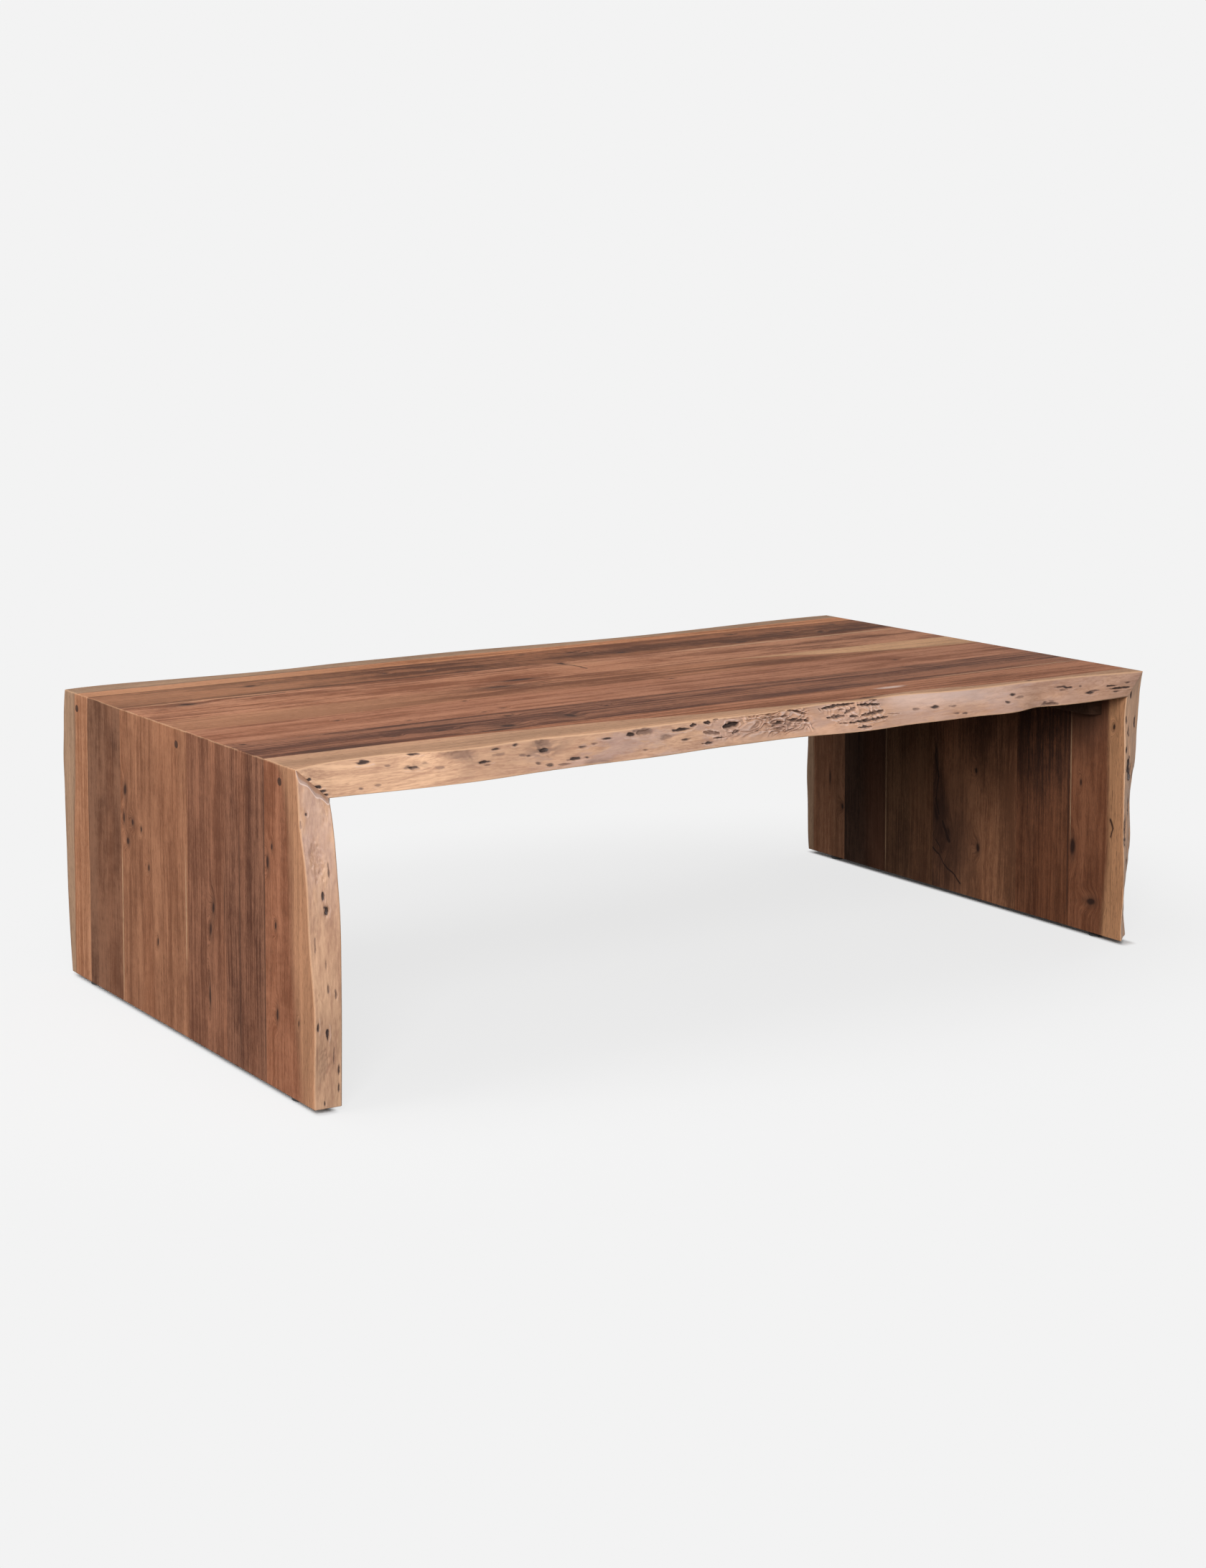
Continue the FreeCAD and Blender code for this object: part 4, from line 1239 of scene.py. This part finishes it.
def metal(name, base, rough):
    """Plated or turned metal with fine wear."""
    shader = Shader(name)
    place = shader.node("TexCoord", {}, {}, 3)
    wear = shader.noise(place, (300.0, 300.0, 300.0), 3.0, 0.6)
    scratch = shader.noise(place, (2200.0, 2200.0, 260.0), 2.0, 0.6)
    shade = shader.mix(wear, dimmed(base, 0.8), tuple(base))
    return shader.finish({"Base Color": shade, "Metallic": 1.0, "Roughness": rough + scratch * 0.18},
                         scratch, 0.2, 0.05 * mm)


def moulded(name, base):
    """Black moulded plastic with a fine grain."""
    shader = Shader(name)
    place = shader.node("TexCoord", {}, {}, 3)
    grit = shader.noise(place, (2600.0, 2600.0, 2600.0), 2.0, 0.7)
    shade = shader.mix(grit, tuple(base), dimmed(base, 1.9))
    return shader.finish({"Base Color": shade, "Roughness": 0.5 + grit * 0.2}, grit, 0.3, 0.08 * mm)


def dressed(node, material):
    """Gives a CAD node that stays its finish."""
    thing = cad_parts[node]
    thing.data.materials.clear()
    thing.data.materials.append(material)


def slab_boards(context, slab, prefix, count):
    """Builds the boards of one slab from front to back."""
    sizes = context.scene.table_sizes
    colours = context.scene.table_colours
    for number in range(1, count + 1):
        node = f"{prefix}_board_{number}"
        front_live = number == 1
        back_live = number == count
        mesh = board_mesh(node + "_wood", node, slab, front_live, back_live, sizes)
        if slab is not TOP:
            cutter = leg_cutter(slab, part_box(node), sizes)
            if cutter:
                mesh = carve(mesh, cutter)
        material = board_material(node, slab, LOOKS[node], colours, front_live or back_live)
        new_piece(node + "_wood", mesh, material, node)


class TopBoards(bpy.types.Operator):
    """Build the seven boards of the top"""

    bl_idname = "table.top_boards"
    bl_label = "Top boards"

    def execute(self, context):
        slab_boards(context, TOP, "top", 7)
        return {"FINISHED"}


class LeftLegBoards(bpy.types.Operator):
    """Build the six boards of the left leg"""

    bl_idname = "table.left_leg_boards"
    bl_label = "Left leg boards"

    def execute(self, context):
        slab_boards(context, LEFT, "left_leg", 6)
        return {"FINISHED"}


class RightLegBoards(bpy.types.Operator):
    """Build the six boards of the right leg"""

    bl_idname = "table.right_leg_boards"
    bl_label = "Right leg boards"

    def execute(self, context):
        slab_boards(context, RIGHT, "right_leg", 6)
        return {"FINISHED"}


# The bevel of a plug, and how much finer its grain is than a cleat's
PLUG_BEVEL = 0.35 * mm
PLUG_GRAIN = 3.0


class ScrewPlugs(bpy.types.Operator):
    """Build the plugs over the joint screws"""

    bl_idname = "table.screw_plugs"
    bl_label = "Screw plugs"

    def execute(self, context):
        colours = context.scene.table_colours
        for slab, side in ((LEFT, "left"), (RIGHT, "right")):
            shape = bmesh.new()
            for low, high in island_boxes(side + "_screw_plugs"):
                centre = (low + high) / 2
                start = Vector((slab.origin.x, centre.y, centre.z))
                cylinder(shape, start, slab.inward, (high.y - low.y) / 2, high.x - low.x, PLUG_BEVEL)
            mesh = mesh_of(shape, side + "_plugs")
            smooth_by_angle(mesh, SMALL_SHARP_ANGLE)
            material = plain_wood(side + "_plug_wood", TOP, dimmed(colours.plug, 0.5), tuple(colours.plug),
                                  PLUG_GRAIN)
            new_piece(side + "_plugs", mesh, material, side + "_screw_plugs")
        return {"FINISHED"}


class CornerCleats(bpy.types.Operator):
    """Build the cleats in the corners under the top"""

    bl_idname = "table.corner_cleats"
    bl_label = "Corner cleats"

    def execute(self, context):
        colours = context.scene.table_colours
        # Both cleat shades are darkened with painted shade, for the shadow under the top
        dark = dimmed(colours.cleat, 0.45)
        for side in ("left", "right"):
            node = side + "_corner_cleat"
            material = plain_wood(side + "_cleat_wood", TOP, dark, tuple(colours.cleat))
            mesh = cleat_mesh(side + "_cleat", node, context.scene.table_sizes)
            new_piece(side + "_cleat", mesh, material, node)
        return {"FINISHED"}


# What tells a cleat's upright corners from its other edges, with the angle in radians, and how close
# counts as level
UPRIGHT_LENGTH = 25 * mm
UPRIGHT_SHARE = 0.99
CORNER_ANGLE = 0.5
LEVEL_GAP = 0.1 * mm


def cleat_mesh(name, node, sizes):
    """A merged copy of a cleat with rounded noses and softened long edges."""
    shape = bmesh.new()
    shape.from_mesh(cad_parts[node].data)
    bmesh.ops.remove_doubles(shape, verts=shape.verts, dist=WELD)
    bmesh.ops.dissolve_limit(shape, angle_limit=math.radians(0.5), verts=shape.verts, edges=shape.edges)
    wall = max((abs(vertex.co.x) for vertex in shape.verts)) - LEVEL_GAP
    noses = []
    for edge in shape.edges:
        way = edge.verts[1].co - edge.verts[0].co
        upright = abs(way.z) > UPRIGHT_LENGTH and abs(way.z) > UPRIGHT_SHARE * way.length
        if upright and abs(edge.verts[0].co.x) < wall and edge.calc_face_angle(0.0) > CORNER_ANGLE:
            noses.append(edge)
    round_edges(shape, noses, sizes.cleat_nose, 5)
    floor = min(vertex.co.z for vertex in shape.verts) + LEVEL_GAP
    rim = []
    for edge in shape.edges:
        low = all(vertex.co.z < floor and abs(vertex.co.x) < wall for vertex in edge.verts)
        if low and any(abs(face.normal.z) < 0.1 for face in edge.link_faces):
            rim.append(edge)
    round_edges(shape, rim, sizes.cleat_arris, 3)
    mesh = mesh_of(shape, name)
    smooth_by_angle(mesh, SMALL_SHARP_ANGLE)
    return mesh


class Hardware(bpy.types.Operator):
    """Finish the screws, tenons and inserts"""

    bl_idname = "table.hardware"
    bl_label = "Screws, tenons and inserts"

    def execute(self, context):
        colours = context.scene.table_colours
        zinc = metal("zinc", colours.zinc, 0.32)
        tenon = plain_wood("beech", TOP, dimmed(colours.tenon, 0.7), tuple(colours.tenon))
        for side in ("left", "right"):
            dressed(side + "_joint_screws", zinc)
            dressed(side + "_cleat_screws", zinc)
            dressed(side + "_mitre_tenons", tenon)
        dressed("foot_inserts", metal("turned_brass", colours.brass, 0.3))
        return {"FINISHED"}


class LevellingFeet(bpy.types.Operator):
    """Build the threaded studs and finish the pads"""

    bl_idname = "table.levelling_feet"
    bl_label = "Levelling feet"

    def execute(self, context):
        sizes = context.scene.table_sizes
        colours = context.scene.table_colours
        plastic = moulded("black_pad", colours.plastic)
        steel = metal("plated_stud", colours.zinc, 0.28)
        for place in ("front_left", "front_right", "back_left", "back_right"):
            dressed(place + "_foot_pad", plastic)
            mesh = stud_mesh(place + "_stud_thread", place + "_foot_stud", sizes)
            new_piece(place + "_stud_thread", mesh, steel, place + "_foot_stud",
                      place + "_stud")
        return {"FINISHED"}


# A stud's shank, its flange with a small bevel, the plain necks at both ends of its thread, the length
# over which the thread deepens, and the two steps of its pointed tip
SHANK_RADIUS = 4.0 * mm
FLANGE_HEIGHT = 1.8 * mm
FLANGE_BEVEL = 0.2 * mm
NECK = 1.2 * mm
THREAD_FADE = 1.8 * mm
TIP_HEIGHT = 0.3 * mm
TIP_REACH = 1.2 * mm
STUD_SIDES = 36
RINGS_PER_TURN = 6


def stud_mesh(name, node, sizes):
    """A stud with its flange and a cut thread."""
    low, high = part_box(node)
    centre = (low + high) / 2
    flange = (high.x - low.x) / 2
    flange_top = low.z + FLANGE_HEIGHT
    thread_start = flange_top + NECK
    # Rings of the stud as (radius, height); those of the thread get their radius later
    heights = [
        (0.0, low.z), (flange - FLANGE_BEVEL, low.z), (flange, low.z + FLANGE_BEVEL),
        (flange, flange_top - FLANGE_BEVEL), (flange - FLANGE_BEVEL, flange_top),
        (SHANK_RADIUS, flange_top), (SHANK_RADIUS, thread_start),
    ]
    z = thread_start
    while z < high.z - NECK:
        z += sizes.thread_pitch / RINGS_PER_TURN
        heights.append((None, z))
    heights += [(SHANK_RADIUS - sizes.thread_depth, high.z - TIP_HEIGHT), (SHANK_RADIUS - TIP_REACH, high.z),
                (0.0, high.z)]

    def place(column, row):
        radius, level = heights[column]
        angle = 2 * math.pi * row / STUD_SIDES
        if radius is None:
            turn = (level / sizes.thread_pitch - row / STUD_SIDES) % 1.0
            fade = blur_step(level, thread_start, thread_start + THREAD_FADE)
            radius = SHANK_RADIUS - sizes.thread_depth * fade * abs(2 * turn - 1)
        spot = Vector((centre.x + radius * math.cos(angle), centre.y + radius * math.sin(angle), level))
        return spot, ()

    mesh = tube_mesh(name, len(heights), STUD_SIDES, place)
    smooth_by_angle(mesh, STUD_SHARP_ANGLE)
    return mesh


class Stage(bpy.types.Operator):
    """Set the floor, the background, the lights and the camera"""

    bl_idname = "table.stage"
    bl_label = "Stage"

    def execute(self, context):
        ground = tuple(context.scene.table_colours.ground)
        make_floor(ground)
        make_world(ground)
        for name, place, target, size, power in LAMPS:
            make_lamp(name, place, target, size, power)
        make_camera()
        return {"FINISHED"}


# Each lamp's name, place, aim, width and height, and its power in watts
LAMPS = (
    ("key_panel", (-3.1, -3.8, 3.0), (0.0, 0.0, 0.3), (1.7, 1.7), 172.0),
    ("top_panel", (-1.2, 0.4, 3.0), (-0.2, 0.0, 0.4), (2.4, 2.0), 34.0),
    ("left_panel", (-4.2, 0.4, 1.5), (-0.6, 0.0, 0.2), (1.8, 1.8), 62.0),
    ("right_panel", (4.2, 0.7, 1.4), (0.684, 0.0, 0.2), (1.8, 1.8), 26.0),
    ("low_panel", (-1.9, -4.0, 1.8), (0.4, 0.0, 0.1), (1.0, 0.8), 38.0),
)

# Strength of the light from all round, how much light the floor throws back, how strong and how wide
# its faint shadow and its dark contact line under the legs are, and how far the camera sees
WORLD_STRENGTH = 0.2
FLOOR_BOUNCE = 0.16
FLOOR_SHADOW_SHARE = 0.16
FLOOR_SHADOW_REACH = (0.95, 1.35, 0.0)
FLOOR_SHADOW_FADE = (0.7, 1.25)
FLOOR_HALF_SIZE = 60.0
CONTACT_REACH = 3 * mm
CONTACT_SHARE = 1.0
VIEW_DEPTH = 200.0

# The camera, solved from the table's corners: its place in metres, its angles in degrees, its lens in
# millimetres and its shift upwards as a share of the picture
CAMERA_PLACE = (-2.0554, -2.9688, 0.9953)
CAMERA_TILT = 85.69
CAMERA_TURN = -34.41
CAMERA_LENS = 58.356
CAMERA_RISE = -0.2071


def seen_or_mirrored(shader):
    """1 for rays that show the background itself, in a mirror or through glass too."""
    path = shader.node("LightPath", {}, {})
    outputs = path.socket.node.outputs
    seen = shader.maths("MAXIMUM", Value(shader, outputs["Is Camera Ray"]),
                        Value(shader, outputs["Is Glossy Ray"]))
    return shader.maths("MAXIMUM", seen, Value(shader, outputs["Is Transmission Ray"]))


def make_floor(ground):
    """A wide pale floor that shows only a faint shadow and throws little light back."""
    shape = bmesh.new()
    bmesh.ops.create_grid(shape, x_segments=1, y_segments=1, size=FLOOR_HALF_SIZE)
    mesh = mesh_of(shape, "floor")
    floor = bpy.data.objects.new("floor", mesh)
    bpy.context.scene.collection.objects.link(floor)
    shader = Shader("floor")
    seen = seen_or_mirrored(shader)
    matte = shader.node("BsdfDiffuse", {}, {"Color": ground})
    dim = shader.node("BsdfDiffuse", {}, {"Color": dimmed(ground, FLOOR_BOUNCE)})
    glow = shader.node("Emission", {}, {"Color": ground, "Strength": 1.0})
    place = shader.node("TexCoord", {}, {}, 3)
    near = shader.vector("MULTIPLY", {0: place, 1: FLOOR_SHADOW_REACH})
    away = shader.vector("LENGTH", {0: near}, 1)
    x, y, _ = shader.split(place)
    beside = shader.maths("ABSOLUTE", shader.maths("ABSOLUTE", x) - (half_length - thickness / 2))
    contact = 1 - shader.ease(beside, 0.2 * thickness, 0.5 * thickness + CONTACT_REACH)
    beyond = shader.maths("ABSOLUTE", y)
    contact = contact * (1 - shader.ease(beyond, half_width - 8 * CONTACT_REACH, half_width))
    faint = (1 - shader.ease(away, *FLOOR_SHADOW_FADE)) * FLOOR_SHADOW_SHARE
    shade_share = shader.maths("MAXIMUM", faint, contact * CONTACT_SHARE)
    shown = shader.node("MixShader", {}, {0: shade_share, 1: glow, 2: matte})
    shader.node_output(shader.node("MixShader", {}, {0: seen, 1: dim, 2: shown}))
    mesh.materials.append(shader.material)


def make_world(ground):
    """A pale background and a soft light from all round."""
    world = bpy.data.worlds.new("studio")
    bpy.context.scene.world = world
    shader = Shader("studio", world)
    seen = seen_or_mirrored(shader)
    light = shader.node("Background", {}, {"Color": (1.0, 1.0, 1.0), "Strength": WORLD_STRENGTH})
    shown = shader.node("Background", {}, {"Color": ground, "Strength": 1.0})
    both = shader.node("MixShader", {}, {0: seen, 1: light, 2: shown})
    end = shader.tree.nodes.new("ShaderNodeOutputWorld")
    shader.tree.links.new(both.socket, end.inputs["Surface"])


def make_lamp(name, place, target, size, power):
    """A soft panel light that looks at a target."""
    data = bpy.data.lights.new(name, "AREA")
    data.shape = "RECTANGLE"
    data.size, data.size_y = size
    data.energy = power
    lamp = bpy.data.objects.new(name, data)
    bpy.context.scene.collection.objects.link(lamp)
    lamp.location = place
    lamp.rotation_euler = (Vector(target) - Vector(place)).to_track_quat("-Z", "Y").to_euler()


def make_camera():
    """The camera at the photo's viewing angle."""
    data = bpy.data.cameras.new("camera")
    camera = bpy.data.objects.new("camera", data)
    bpy.context.scene.collection.objects.link(camera)
    camera.location = CAMERA_PLACE
    camera.rotation_euler = (math.radians(CAMERA_TILT), 0.0, math.radians(CAMERA_TURN))
    data.lens = CAMERA_LENS
    data.shift_y = CAMERA_RISE
    data.clip_end = VIEW_DEPTH
    bpy.context.scene.camera = camera


OPERATORS = (TopBoards, LeftLegBoards, RightLegBoards, ScrewPlugs, CornerCleats, Hardware, LevellingFeet,
             Stage)


class TablePanel(bpy.types.Panel):
    """Lists the table's pieces and sizes in the sidebar"""

    bl_idname = "VIEW3D_PT_table"
    bl_label = "Coffee table"
    bl_space_type = "VIEW_3D"
    bl_region_type = "UI"
    bl_category = "Table"

    def draw(self, context):
        for operator in OPERATORS:
            self.layout.operator(operator.bl_idname)
        for group in (context.scene.table_sizes, context.scene.table_colours):
            for name in group.__annotations__:
                self.layout.prop(group, name)


CLASSES = (TableSizes, TableColours, *OPERATORS, TablePanel)


def register():
    """Makes the operators, the panel and the settings known."""
    for kind in CLASSES:
        bpy.utils.register_class(kind)
    bpy.types.Scene.table_sizes = PointerProperty(type=TableSizes)
    bpy.types.Scene.table_colours = PointerProperty(type=TableColours)


def unregister():
    """Takes them away again."""
    del bpy.types.Scene.table_colours
    del bpy.types.Scene.table_sizes
    for kind in reversed(CLASSES):
        bpy.utils.unregister_class(kind)


def main():
    """Builds every piece and the stage."""
    register()
    noise.seed_set(SWIRL_SEED)
    bpy.context.scene.view_settings.view_transform = "Standard"
    bpy.ops.table.top_boards()
    bpy.ops.table.left_leg_boards()
    bpy.ops.table.right_leg_boards()
    bpy.ops.table.screw_plugs()
    bpy.ops.table.corner_cleats()
    bpy.ops.table.hardware()
    bpy.ops.table.levelling_feet()
    bpy.ops.table.stage()


if __name__ == "__main__":
    main()
